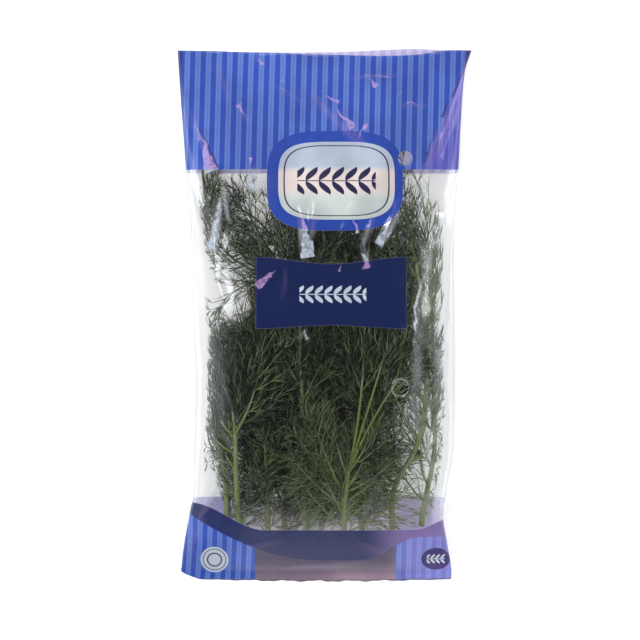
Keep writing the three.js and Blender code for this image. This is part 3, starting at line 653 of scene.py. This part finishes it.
# A sprig has its rank from the back sheet to the front one, its own seed, its young leaves
# (how many, and from and to which place on the stem) and its stem's route. Then come its
# leaves: place on the stem as a share, lean to the left in degrees, length, bend in degrees,
# fullness, and the bare share of the rib where it isn't the usual one.
SPRIGS = [
    (8, 11, (2, 3, 50), [(-54, -137), (-56, -104), (-56.5, -74)],
     [(0.3, 28, 28, -20, 0.35), (0.6, 36, 40, -30, 0.4), (0.94, 44, 52, -60, 0.55),
      (0.96, 6, 66, 10, 0.6), (0.98, -27, 62, 20, 0.8)]),
    (6, 23, (2, 3, 50), [(-62, -133), (-63, -107), (-66, -84), (-56, -44)],
     [(0.3, 22, 40, -30, 0.35), (0.5, 26, 50, -40, 0.5), (0.72, -28, 60, 20, 0.8),
      (0.9, 30, 36, -10, 0.5), (1, 0, 40, 10, 0.6)]),
    (3, 37, (17, 3, 195), [(-36, -138), (-37, -79), (-32, -15), (-26, 30)],
     [(0.35, 22, 74, -20, 0.7), (0.62, -20, 60, 0, 0.9), (0.95, 72, 86, -50, 0.85),
      (0.96, 97, 48, 34, 0.6), (1, 18, 68, 56, 0.7)]),
    (5, 41, (16, 3, 128), [(-12, -138), (-14, -73), (-16, 0)],
     [(0.2, 24, 80, -20, 0.9), (0.45, -26, 80, 20, 0.9), (0.7, 40, 52, 60, 0.8),
      (0.88, 62, 56, 84, 0.8), (1, 4, 62, -8, 1.15)]),
    (9, 67, (13, 3, 44), [(12, -141), (13, -118), (15, -98)],
     [(0.4, 14, 30, 20, 0.4), (0.7, -32, 36, 10, 0.45), (0.97, -11, 96, 10, 1, 0.55),
      (0.97, -17, 104, 0, 0.9, 0.6), (0.97, -23, 92, -16, 1, 0.55)]),
    (4, 71, (22, 3, 190), [(24, -138), (20, -93), (18, -34), (19, 24)],
     [(0.2, 30, 80, -20, 0.9), (0.42, -28, 80, 24, 1), (0.66, 24, 70, -10, 1),
      (0.78, -34, 60, 24, 1), (1, -6, 52, 8, 1.15)]),
    (7, 89, (6, 66, 165), [(43, -139), (44, -110), (60, -78), (66, -30), (58, 34)],
     [(0.32, 30, 60, -10, 0.8), (0.55, -10, 46, 14, 0.5), (0.62, 26, 76, -20, 0.9),
      (0.82, -20, 56, 30, 0.85), (1, 12, 52, -8, 0.7)]),
    (2, 97, (7, 8, 140), [(65, -134), (71, -110), (76, -84), (72, 4)],
     [(0.35, 14, 36, -14, 0.35), (0.5, 14, 60, 0, 0.6), (0.68, -6, 60, 8, 0.6),
      (0.85, 18, 60, -12, 0.75), (1, -2, 58, 8, 0.75)]),
    (1, 101, (9, 3, 64), [(-2, -138), (1, -79), (-4, -5)],
     [(0.18, 26, 80, -10, 0.9), (0.4, -26, 84, 10, 0.95), (0.62, 24, 70, -6, 1),
      (0.82, -36, 66, 20, 1), (1, -6, 62, 6, 1.15)]),
    (0, 137, (9, 3, 90), [(-26, -141), (-25, -92), (-40, -34)],
     [(0.18, 24, 64, -20, 0.7), (0.4, -20, 80, 10, 0.9), (0.62, 34, 50, -30, 0.6),
      (0.85, -16, 72, 10, 0.8), (1, 14, 40, -10, 0.6)]),
]
STEM_RADIUS, RIB_RADIUS, RIB_STEPS = (1.9, 1.15), (0.95, 0.3), 4
# Distances are left as they are up to this share of their limit.
FREE_SHARE = 0.7


def mix(first, second, share):
    return first + (second - first) * share


def pressed(distance, limit):
    """Presses a distance together as it nears a limit, which it never passes."""
    part = np.abs(distance) / limit
    over = np.maximum(part - FREE_SHARE, 0) / (1 - FREE_SHARE)
    held = np.minimum(part, FREE_SHARE) + (1 - FREE_SHARE) * np.tanh(over)
    return np.sign(distance) * limit * held


def point_in_bag(plan, share, margin):
    """Points over places on the plan, at a share of the free height inside the bag."""
    middle, half, height = station_at(plan[..., 1])
    reach = half - EDGE_MARGIN - margin
    held_x = middle + pressed(plan[..., 0] - middle, reach)
    across = (held_x - middle) / half
    kept = margin * (1 + FOLD_MARGIN * across ** 8)
    low = back_height(height, across) + kept
    high = front_height(height, across) - kept
    z = np.where(high > low, mix(low, high, share), (low + high) / 2)
    return np.stack([held_x, plan[..., 1], z], -1)


def held_in_bag(points, slack):
    """Moves what would be outside the bag to just inside it, by a little more for some."""
    low = point_in_bag(points[..., :2], 0, FILM_MARGIN)
    high = point_in_bag(points[..., :2], 1, FILM_MARGIN)
    top = np.maximum(high[..., 2] - slack, low[..., 2])
    z = np.clip(points[..., 2], np.minimum(low[..., 2] + slack, top), top)
    return np.stack([low[..., 0], points[..., 1], z], -1)


def smooth_line(knots, count):
    """Points on a smooth curve through knots, evenly spread over the spans between them."""
    knots = np.asarray(knots, float)
    ends = np.vstack([2 * knots[0] - knots[1], knots, 2 * knots[-1] - knots[-2]])
    places = np.linspace(0, len(knots) - 1, count)
    k = np.minimum(places.astype(int), len(knots) - 2)
    t = (places - k)[:, None]
    p0, p1, p2, p3 = ends[k], ends[k + 1], ends[k + 2], ends[k + 3]
    step = [np.maximum(np.sum((b - a) ** 2, 1), 1e-8)[:, None] ** 0.25
            for a, b in ((p0, p1), (p1, p2), (p2, p3))]
    first = ((p1 - p0) / step[0] - (p2 - p0) / (step[0] + step[1]) + (p2 - p1) / step[1]) * step[1]
    second = ((p2 - p1) / step[1] - (p3 - p1) / (step[1] + step[2]) + (p3 - p2) / step[2]) * step[1]
    square = 3 * (p2 - p1) - 2 * first - second
    cube = first + second - 2 * (p2 - p1)
    return p1 + t * (first + t * (square + t * cube))


def at_share(line, share):
    """A point on a line, and the direction there."""
    place = share * (len(line) - 1)
    k = min(int(place), len(line) - 2)
    along = line[k + 1] - line[k]
    return mix(line[k], line[k + 1], place - k), along / np.linalg.norm(along)


def unit(vectors):
    return vectors / np.maximum(np.linalg.norm(vectors, axis=-1, keepdims=True), 1e-9)


# Limbs get painted shade the deeper they lie in the bunch, whose top and underside are kept for
# each cell of a grid on the plan. Pale limbs get less of it.
CELL, CELLS = 3.0, (70, 130)
DEEP_SHADE, SHADE_DEPTH, SHADE_POWER = 0.6, 8.0, 0.55
PALEST_TONE, LEAST_SHADE = 1.5, 0.45
NEARLY_UP = np.array([0.13, 0.21, 0.97])


def cells_of(points):
    return tuple((points[:, axis] / CELL + CELLS[axis] / 2).astype(int) for axis in (0, 1))


class Limbs:
    """A growing heap of tapered, bent limbs that becomes one mesh."""

    def __init__(self):
        self.points, self.triangles, self.tones, self.count = [], [], [], 0

    def add(self, centres, radii, sides, tones, tip=True):
        """centres is limbs x rings x 3; the last ring is a single point where tip is set."""
        limbs, rings = centres.shape[:2]
        along = unit(np.gradient(centres, axis=1))
        aside = unit(np.cross(along, NEARLY_UP))
        over = np.cross(along, aside)
        angles = (2 * np.pi * np.arange(sides) / sides)[:, None]
        rim = aside[:, :, None] * np.cos(angles) + over[:, :, None] * np.sin(angles)
        rim = centres[:, :, None] + rim * radii[..., None, None]
        body = rings - 1 if tip else rings
        own = [rim[:, :body].reshape(limbs, -1, 3), centres[:, -1:]]
        own = np.concatenate(own, 1)
        per = own.shape[1]
        i = np.arange(sides)
        j = (i + 1) % sides
        faces = []
        for ring in range(body - 1):
            a, b = ring * sides, (ring + 1) * sides
            faces += [np.stack([a + i, a + j, b + j], 1), np.stack([a + i, b + j, b + i], 1)]
        a, apex = (body - 1) * sides, body * sides
        faces.append(np.stack([a + i, a + j, np.full(sides, apex)], 1))
        k = np.arange(1, sides - 1)
        faces.append(np.stack([np.zeros_like(k), k + 1, k], 1))
        faces = np.concatenate(faces)
        starts = self.count + per * np.arange(limbs)
        self.points.append(own.reshape(-1, 3))
        self.triangles.append((faces[None] + starts[:, None, None]).reshape(-1, 3))
        tone_rows = np.broadcast_to(np.asarray(tones, float).reshape(limbs, -1), (limbs, rings))
        body_tones = np.repeat(tone_rows[:, :body], sides, axis=1)
        self.tones.append(np.concatenate([body_tones, tone_rows[:, -1:]], 1).ravel())
        self.count += per * limbs

    def to_object(self, name, top, bottom):
        """top and bottom are the heights of the whole bunch, cell by cell."""
        points, triangles = np.concatenate(self.points), np.concatenate(self.triangles)
        cell = cells_of(points)
        depth = np.minimum(top[cell] - points[:, 2], points[:, 2] - bottom[cell])
        tones = np.concatenate(self.tones)
        pale_share = np.clip(PALEST_TONE - tones, LEAST_SHADE, 1)
        shade = DEEP_SHADE * np.clip(depth / SHADE_DEPTH, 0, 1) ** SHADE_POWER * pale_share
        mesh = bpy.data.meshes.new(name)
        mesh.vertices.add(len(points))
        mesh.vertices.foreach_set("co", (points * MM).ravel())
        mesh.loops.add(triangles.size)
        mesh.loops.foreach_set("vertex_index", triangles.ravel())
        mesh.polygons.add(len(triangles))
        mesh.polygons.foreach_set("loop_start", np.arange(0, triangles.size, 3))
        mesh.update(calc_edges=True)
        tone = mesh.attributes.new("tone", "FLOAT", "POINT")
        tone.data.foreach_set("value", tones - shade)
        mesh.polygons.foreach_set("use_smooth", np.ones(len(triangles), bool))
        made = bpy.data.objects.new(name, mesh)
        bpy.context.scene.collection.objects.link(made)
        return made


def limb_at(limbs, share):
    """Places and directions on bent limbs (start, direction, bend, length)."""
    start, heading, bend, length = limbs
    share = np.asarray(share)[..., None]
    point = start + length[..., None] * (heading * share + bend * share ** 2)
    return point, unit(heading + 2 * bend * share)


def turned(along, plane, side, angle, tilt):
    """Directions that leave others at an angle, to one side and tilted off their plane."""
    aside = unit(np.cross(plane, along))
    out = aside * (side * np.cos(tilt))[..., None] + plane * np.sin(tilt)[..., None]
    return unit(along * np.cos(angle)[..., None] + out * np.sin(angle)[..., None])


def part_from(limbs, shares, side, angle, tilt, plane):
    """Start points and directions of limbs that leave others at an angle."""
    point, along = limb_at(limbs, shares)
    return point, turned(along, plane, side, angle, tilt)


# A leaf's rib, its side branches (pinnae), the twigs on them and the threads on those.
# Angles are in radians, each a mean and a spread. Radii, tones and the lengths of pinnae
# and twigs run from a first value to a last one. Meshes are rings along a limb and sides
# round it. Other pairs are a least and a most.
FULL_LEAF, SIZE_POWER = 60.0, 0.7
RIB_SIDES, RIB_TAPER, THIN_RIB = 6, 1.5, 0.6
RIB_TONES, PALE_RIB, RIB_FADE = (1.25, 0.55), 0.8, 0.3
PINNA_STEP, TWIG_STEP, THREADS_PER_TWIG = 6.5, 4.2, 4
PINNA_LENGTH, PINNA_POWER, PINNA_UNEVEN = (33.0, 18.0), 0.8, (0.8, 1.15)
TWIG_SHARE, TWIG_UNEVEN, LEAST_TWIG = (0.42, 0.2), (0.7, 1.2), 5.0
THREAD_LENGTH, THREAD_SHARE, SPARSE_THREAD = (6.5, 13.0), (1.1, 0.75), 0.5
LAST_PAIR, PAIR_SPREAD, LAST_PLACE = 0.985, 0.006, 0.99
TWIG_PLACES, FIRST_THREAD, THREAD_STRETCH = (0.16, 0.97), 0.15, 0.6
PINNA_ANGLE, TWIG_ANGLE, THREAD_ANGLE = (0.86, 0.14), (0.5, 0.12), (0.32, 0.12)
CLOSING_ANGLE, PLANE_TILT = 0.45, 0.12
PINNA_TILT, TWIG_TILT, THREAD_TILT = 0.22, 0.4, 0.6
PINNA_BEND, TWIG_BEND = 0.16, 0.14
PINNA_WAVE, TWIG_WAVE, THREAD_WAVE = 0.06, 0.07, 0.2
PINNA_RADIUS, TWIG_RADIUS, THREAD_RADIUS = (0.36, 0.2), (0.28, 0.16), (0.25, 0.15)
PINNA_MESH, TWIG_MESH, THREAD_MESH = (6, 4), (4, 3), (3, 3)
PINNA_TONE, TWIG_TONE = 0.58, 0.5
TIP_LIGHTER, TONE_SPREAD = 0.08, 0.08
SWEEP, YOUNG_SWEEP = 0.24, 0.34
PRESSED_DEPTH, PRESSED_POWER = 6.0, 1.5

# Where the leaves are thin: middle x and y, half width and half height, and share left there.
# The thinning starts to fade inside each place's edge, and ends outside it.
THIN_PLACES = [
    (69.5, -75.5, 13.5, 41.5, 0.3),
    (60.0, -105.0, 10.0, 17.0, 0.04),
    (74.0, 23.0, 10.0, 51.0, 0.5),
    (-66.0, 12.5, 19.0, 13.5, 0.02),
    (-45.5, 72.0, 11.5, 11.0, 0.25),
    (-83.0, 81.0, 9.0, 11.0, 0.2),
    (-78.5, -85.5, 7.5, 31.5, 0.45),
    (56.5, -127.0, 17.5, 10.0, 0.3),
    (74.0, 84.5, 10.0, 10.5, 0.35),
]
THIN_START, THIN_BLEND = 0.8, 0.4
# The share of limbs given painted light, and the tone that painted shade takes from the
# others and painted light adds to those; the ranks of paler sprigs, and of those whose side
# branches and twigs stand wider apart.
LIT_SHARE, LIT_TONES = 0.3, (-0.23, 0.38)
PALER = {2: 0.34, 7: 0.2}
SPARSER = {2: 1.7, 7: 1.4, 8: 1.15}


def kept_of(points, chance):
    """Which twigs or threads are there, fewer where the leaves are thin."""
    share = np.ones(len(points))
    for middle_x, middle_y, half_x, half_y, left in THIN_PLACES:
        far = np.hypot((points[:, 0] - middle_x) / half_x, (points[:, 1] - middle_y) / half_y)
        thinned = mix(left, 1, np.clip((far - THIN_START) / THIN_BLEND, 0, 1))
        share = np.minimum(share, thinned)
    return chance.random(len(points)) < share ** 0.5


def grow_leaf(limbs, rib, first_pair, fullness, chance, brightness, sweep, spacing):
    """All that stands on one leaf's rib, from the first pair of side branches on."""
    length = np.linalg.norm(np.diff(rib, axis=0), axis=1).sum()
    size = fullness * min(length / FULL_LEAF, 1) ** SIZE_POWER
    rings = np.linspace(0, 1, len(rib))
    radii = mix(*RIB_RADIUS, rings ** RIB_TAPER) * mix(THIN_RIB, 1, size)
    faded = np.clip((rings - PALE_RIB * first_pair) / RIB_FADE, 0, 1)
    tones = mix(*RIB_TONES, faded) + brightness
    limbs.add(rib[None], radii[None], RIB_SIDES, tones[None])

    pairs = int(length * (1 - first_pair) / (PINNA_STEP * spacing)) + 1
    shares = np.repeat(np.linspace(first_pair, LAST_PAIR, pairs), 2)
    shares = np.clip(shares + chance.normal(0, PAIR_SPREAD, len(shares)), 0, LAST_PLACE)
    side = np.tile([1.0, -1.0], pairs)
    places = [at_share(rib, share) for share in shares]
    start = np.array([point for point, _ in places])
    along = np.array([heading for _, heading in places])
    plane = unit(np.array([chance.normal(0, PLANE_TILT), chance.normal(0, PLANE_TILT), 1.0]))
    plane = np.broadcast_to(plane, start.shape)
    tilt = chance.normal(0, PINNA_TILT, len(start))
    angle = chance.normal(*PINNA_ANGLE, len(start)) - CLOSING_ANGLE * shares
    heading = turned(along, plane, side, angle, tilt)
    reach = size * mix(*PINNA_LENGTH, shares ** PINNA_POWER)
    reach = reach * chance.uniform(*PINNA_UNEVEN, len(start))
    bend = PINNA_BEND * along + sweep + chance.normal(0, PINNA_WAVE, start.shape)
    pinnae = (start, heading, bend, reach)
    grow_limbs(limbs, pinnae, PINNA_RADIUS, PINNA_MESH, PINNA_TONE + brightness, chance)

    counts = np.maximum((reach / (TWIG_STEP * spacing)).astype(int), 2)
    owner = np.repeat(np.arange(len(start)), 2 * counts)
    order = np.concatenate([np.arange(2 * count) // 2 for count in counts])
    own_share = mix(*TWIG_PLACES, order / np.maximum(counts[owner] - 1, 1))
    twig_side = np.where(np.arange(len(owner)) % 2 == 0, 1.0, -1.0)
    twig_start, twig_heading = part_from(
        tuple(part[owner] for part in pinnae), own_share, twig_side,
        chance.normal(*TWIG_ANGLE, len(owner)), chance.normal(0, TWIG_TILT, len(owner)), plane[owner])
    twig_reach = mix(*TWIG_SHARE, own_share) * reach[owner]
    twig_reach = twig_reach * chance.uniform(*TWIG_UNEVEN, len(owner)) + LEAST_TWIG
    twig_bend = TWIG_BEND * heading[owner] + sweep + chance.normal(0, TWIG_WAVE, twig_start.shape)
    twigs = (twig_start, twig_heading, twig_bend, twig_reach)
    kept = kept_of(limb_at(twigs, np.ones(len(owner)))[0], chance)
    twigs = tuple(part[kept] for part in twigs)
    owner, own_share = owner[kept], own_share[kept]
    grow_limbs(limbs, twigs, TWIG_RADIUS, TWIG_MESH, TWIG_TONE + brightness, chance)

    parent = np.repeat(np.arange(len(owner)), THREADS_PER_TWIG)
    number = np.tile(np.arange(THREADS_PER_TWIG), len(owner))
    step = (number // 2 + chance.uniform(0, 0.5, len(parent))) / (THREADS_PER_TWIG / 2)
    thread_side = np.where(number % 2 == 0, 1.0, -1.0)
    thread_start, thread_heading = part_from(
        tuple(part[parent] for part in twigs), FIRST_THREAD + THREAD_STRETCH * step, thread_side,
        chance.normal(*THREAD_ANGLE, len(parent)), chance.normal(0, THREAD_TILT, len(parent)),
        plane[owner][parent])
    thread_reach = chance.uniform(*THREAD_LENGTH, len(parent)) * mix(*THREAD_SHARE, own_share[parent])
    thread_reach *= mix(SPARSE_THREAD, 1, min(fullness, 1))
    thread_bend = sweep + chance.normal(0, THREAD_WAVE, thread_start.shape)
    threads = (thread_start, thread_heading, thread_bend, thread_reach)
    kept = kept_of(limb_at(threads, np.ones(len(parent)))[0], chance)
    threads = tuple(part[kept] for part in threads)
    grow_limbs(limbs, threads, THREAD_RADIUS, THREAD_MESH, TWIG_TONE + brightness, chance)


def grow_limbs(limbs, bent, radii, mesh, tone, chance):
    """Adds bent limbs, pressed in under the film, each with painted light or painted shade as chance
    has it.
    """
    rings, sides = mesh
    shares = np.linspace(0, 1, rings)
    places = [limb_at(bent, np.full(len(bent[0]), share))[0] for share in shares]
    centres = np.stack(places, 1)
    slack = PRESSED_DEPTH * chance.uniform(0, 1, (len(centres), 1)) ** PRESSED_POWER
    centres = held_in_bag(centres, slack)
    radius = np.broadcast_to(mix(*radii, shares), (len(centres), rings))
    is_lit = chance.random((len(centres), 1)) < LIT_SHARE
    tones = tone + np.where(is_lit, LIT_TONES[1], LIT_TONES[0]) + TIP_LIGHTER * shares
    tones = tones + chance.normal(0, TONE_SPREAD, (len(centres), 1))
    limbs.add(centres, radius, sides, tones)


STEM_SIDES, STEM_RINGS, STEM_KNOTS = 12, 40, 8
STEM_TONES = (1.14, 0.97)
RIB_RINGS, BARE_RIB, LEAF_TONE_SPREAD, SWEEP_TURN = 14, 0.12, 0.07, 35
YOUNG_FULLNESS, YOUNG_BARE_RIB, YOUNG_KNOTS = 0.65, 0.1, 6
YOUNG_TURN, YOUNG_LENGTH, YOUNG_BEND = (0.35, 1.2), (24, 42), 0.3
YOUNG_LEVELS, YOUNG_DIMMING = (-0.2, 0.35), 0.0015
YOUNG_BRIGHTNESS, FRONT_BRIGHTNESS = 0.2, 0.34


def sweep_near(degrees, strength):
    """A common bend, flat on the plan, for all the limbs of a leaf."""
    return strength * np.array([np.cos(np.radians(degrees)), np.sin(np.radians(degrees)), 0.0])


def grow_sprig(rank, seed, young, route, leaves):
    """One sprig: its stem, its large leaves, and the young ones between them."""
    chance = np.random.default_rng(seed)
    limbs = Limbs()
    share = rank / LAST_RANK
    paler, spacing = PALER.get(rank, 0), SPARSER.get(rank, 1)
    stem = point_in_bag(smooth_line(route, STEM_RINGS), share, STEM_MARGIN)
    rings = np.linspace(0, 1, STEM_RINGS)
    limbs.add(stem[None], mix(*STEM_RADIUS, rings)[None], STEM_SIDES,
              mix(*STEM_TONES, rings)[None], tip=False)

    coarse = point_in_bag(smooth_line(route, STEM_KNOTS), share, STEM_MARGIN)
    for place, lean, length, bend, fullness, *bare in leaves:
        start, _ = at_share(coarse, place)
        headings = np.radians(90 + lean + bend * np.linspace(0, 1, RIB_STEPS))
        steps = length / RIB_STEPS * np.stack([np.cos(headings), np.sin(headings)], 1)
        plan = start[:2] + np.cumsum(steps, 0)
        knots = np.vstack([start, point_in_bag(plan, share, STEM_MARGIN)])
        brightness = paler + chance.normal(0, LEAF_TONE_SPREAD)
        first_pair = bare[0] if bare else BARE_RIB
        rib = smooth_line(knots, RIB_RINGS)
        sweep = sweep_near(90 + lean + bend + chance.normal(0, SWEEP_TURN), SWEEP)
        grow_leaf(limbs, rib, first_pair, fullness, chance, brightness, sweep, spacing)

    # Young leaves stand on both sides of one stretch of the stem.
    young_brightness = FRONT_BRIGHTNESS if rank == LAST_RANK else YOUNG_BRIGHTNESS
    stem_length = np.linalg.norm(coarse[-1] - coarse[0])
    count, lowest, highest = young
    for k in range(count):
        height = mix(lowest, highest, k / (count - 1))
        start, along = at_share(coarse, min(height / stem_length, 1))
        side = 1 if k % 2 else -1
        heading = np.arctan2(along[1], along[0]) + side * chance.uniform(*YOUNG_TURN)
        length = chance.uniform(*YOUNG_LENGTH)
        spread = np.linspace(0, 1, YOUNG_KNOTS)[:, None]
        ray = np.array([np.cos(heading), np.sin(heading)])
        plan = start[:2] + spread * length * ray + spread ** 2 * np.array([0, YOUNG_BEND * length])
        level = np.clip(share + chance.uniform(*YOUNG_LEVELS) * spread[:, 0], 0, 1)
        rib = point_in_bag(plan, level, STEM_MARGIN)
        rib[0] = start
        brightness = young_brightness + paler + chance.normal(0, LEAF_TONE_SPREAD)
        brightness = brightness - YOUNG_DIMMING * height
        sweep = sweep_near(chance.uniform(0, 360), YOUNG_SWEEP)
        grow_leaf(limbs, rib, YOUNG_BARE_RIB, YOUNG_FULLNESS, chance, brightness, sweep, spacing)
    return limbs


# The dill's greens by tone: darkest where painted shade falls deep in the bunch, then young leaves
# and, last, stems.
DEEP_GREEN = (0.018, 0.026, 0.014, 1)
LIGHTER_GREENS = [
    (0.3, (0.066, 0.098, 0.052, 1)),
    (0.7, (0.285, 0.34, 0.215, 1)),
    (0.85, (0.27, 0.335, 0.16, 1)),
    (1.0, (0.2, 0.25, 0.075, 1)),
]
MOTTLE_SIZE, MOTTLE_DETAIL, MOTTLE_SHARE = 55, 3, 0.3
DILL_ROUGHNESS = 0.55

dill = bpy.data.materials.new("dill_green")
dill.use_nodes = True
join, sum_of, *_ = make_steps(dill.node_tree)
tone = dill.node_tree.nodes.new("ShaderNodeAttribute")
tone.attribute_name = "tone"
mottle = dill.node_tree.nodes.new("ShaderNodeTexNoise")
mottle.inputs["Scale"].default_value = MOTTLE_SIZE
mottle.inputs["Detail"].default_value = MOTTLE_DETAIL
place = dill.node_tree.nodes.new("ShaderNodeTexCoord")
join(mottle.inputs["Vector"], place.outputs["Object"])
middle_tone = sum_of("SUBTRACT", tone.outputs["Fac"], MOTTLE_SHARE / 2)
greens = dill.node_tree.nodes.new("ShaderNodeValToRGB")
join(greens.inputs["Fac"], sum_of("MULTIPLY_ADD", mottle.outputs["Fac"], MOTTLE_SHARE, middle_tone))
shades = greens.color_ramp.elements
shades.remove(shades[1])
shades[0].position = 0.0
shades[0].color = DEEP_GREEN
for position, green in LIGHTER_GREENS:
    shades.new(position).color = green
shader = dill.node_tree.nodes["Principled BSDF"]
join(shader.inputs["Base Color"], greens.outputs["Color"])
shader.inputs["Roughness"].default_value = DILL_ROUGHNESS

bunch = []
top, bottom = np.full(CELLS, -np.inf), np.full(CELLS, np.inf)
for sprig in SPRIGS:
    limbs = grow_sprig(*sprig)
    points = np.concatenate(limbs.points)
    np.maximum.at(top, cells_of(points), points[:, 2])
    np.minimum.at(bottom, cells_of(points), points[:, 2])
    bunch.append(limbs)

for number, limbs in enumerate(bunch, 1):
    sprig = limbs.to_object(f"dill_sprig_{number:02d}_fine", top, bottom)
    sprig.data.materials.append(dill)
    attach(sprig, "root")
    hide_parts(f"dill_sprig_{number:02d}")

# ---------------------------------------------------------------------------------------
# The studio: a wide white table just under the bag, soft light from both sides and from
# the bag's two ends, and the camera, which looks straight down.

TABLE_SIZE, TABLE_Z, TABLE_ROUGHNESS, TABLE_GLOW = 12, -0.4 * MM, 0.8, 0.4
TABLE_WHITE, PURE_WHITE = (0.9, 0.9, 0.9, 1), (1, 1, 1, 1)
# The room is bright up to one height of the direction looked in and dark above another.
ROOM_BRIGHTNESS = (0.35, 0.9, 0.8, 0.03)
# Name, place, size, power, and whether the film mirrors the lamp.
LAMPS = [
    ("left_softbox", (-0.85, 0.15, 1.0), 0.5, 9.2, False),
    ("right_softbox", (0.9, 0.2, 1.0), 0.5, 5.8, False),
    ("left_lamp", (-0.85, 0.35, 1.0), 0.3, 0.7, True),
    ("right_lamp", (0.9, 0.3, 1.0), 0.3, 0.6, True),
    ("upper_lamp", (-0.2, 1.1, 0.95), 0.34, 2.4, True),
    ("lower_lamp", (0.25, -1.1, 0.95), 0.34, 2.0, False),
]
CAMERA_PLACE, CAMERA_LENS, SENSOR_WIDTH, NEAREST_SEEN = (-0.0029, -0.0025, 1.605), 141, 36, 0.01

bpy.ops.object.select_all(action="DESELECT")
bpy.ops.mesh.primitive_plane_add(size=TABLE_SIZE, location=(0, 0, TABLE_Z))
table = bpy.context.object
table.name = "table"
white = bpy.data.materials.new("white_table")
white.use_nodes = True
shader = white.node_tree.nodes["Principled BSDF"]
shader.inputs["Base Color"].default_value = TABLE_WHITE
shader.inputs["Roughness"].default_value = TABLE_ROUGHNESS
shader.inputs["Emission Color"].default_value = PURE_WHITE
shader.inputs["Emission Strength"].default_value = TABLE_GLOW
table.data.materials.append(white)

world = bpy.data.worlds.new("soft_room")
bpy.context.scene.world = world
world.use_nodes = True
join, _, _, ramp_of, _ = make_steps(world.node_tree)
direction = world.node_tree.nodes.new("ShaderNodeTexCoord")
split = world.node_tree.nodes.new("ShaderNodeSeparateXYZ")
join(split.inputs[0], direction.outputs["Generated"])
background = world.node_tree.nodes["Background"]
background.inputs["Color"].default_value = PURE_WHITE
join(background.inputs["Strength"], ramp_of(split.outputs[2], *ROOM_BRIGHTNESS))

for name, lamp_place, size, power, is_mirrored in LAMPS:
    bpy.ops.object.light_add(type="AREA", location=lamp_place)
    lamp = bpy.context.object
    lamp.name = name
    lamp.data.shape = "DISK"
    lamp.data.size = size
    lamp.data.energy = power
    lamp.visible_glossy = is_mirrored
    lamp.rotation_euler = (-Vector(lamp_place)).to_track_quat("-Z", "Y").to_euler()

bpy.ops.object.camera_add(location=CAMERA_PLACE, rotation=(0, 0, 0))
camera = bpy.context.object
camera.data.lens = CAMERA_LENS
camera.data.sensor_width = SENSOR_WIDTH
camera.data.clip_start = NEAREST_SEEN
bpy.context.scene.camera = camera
bpy.context.scene.view_settings.view_transform = "Standard"
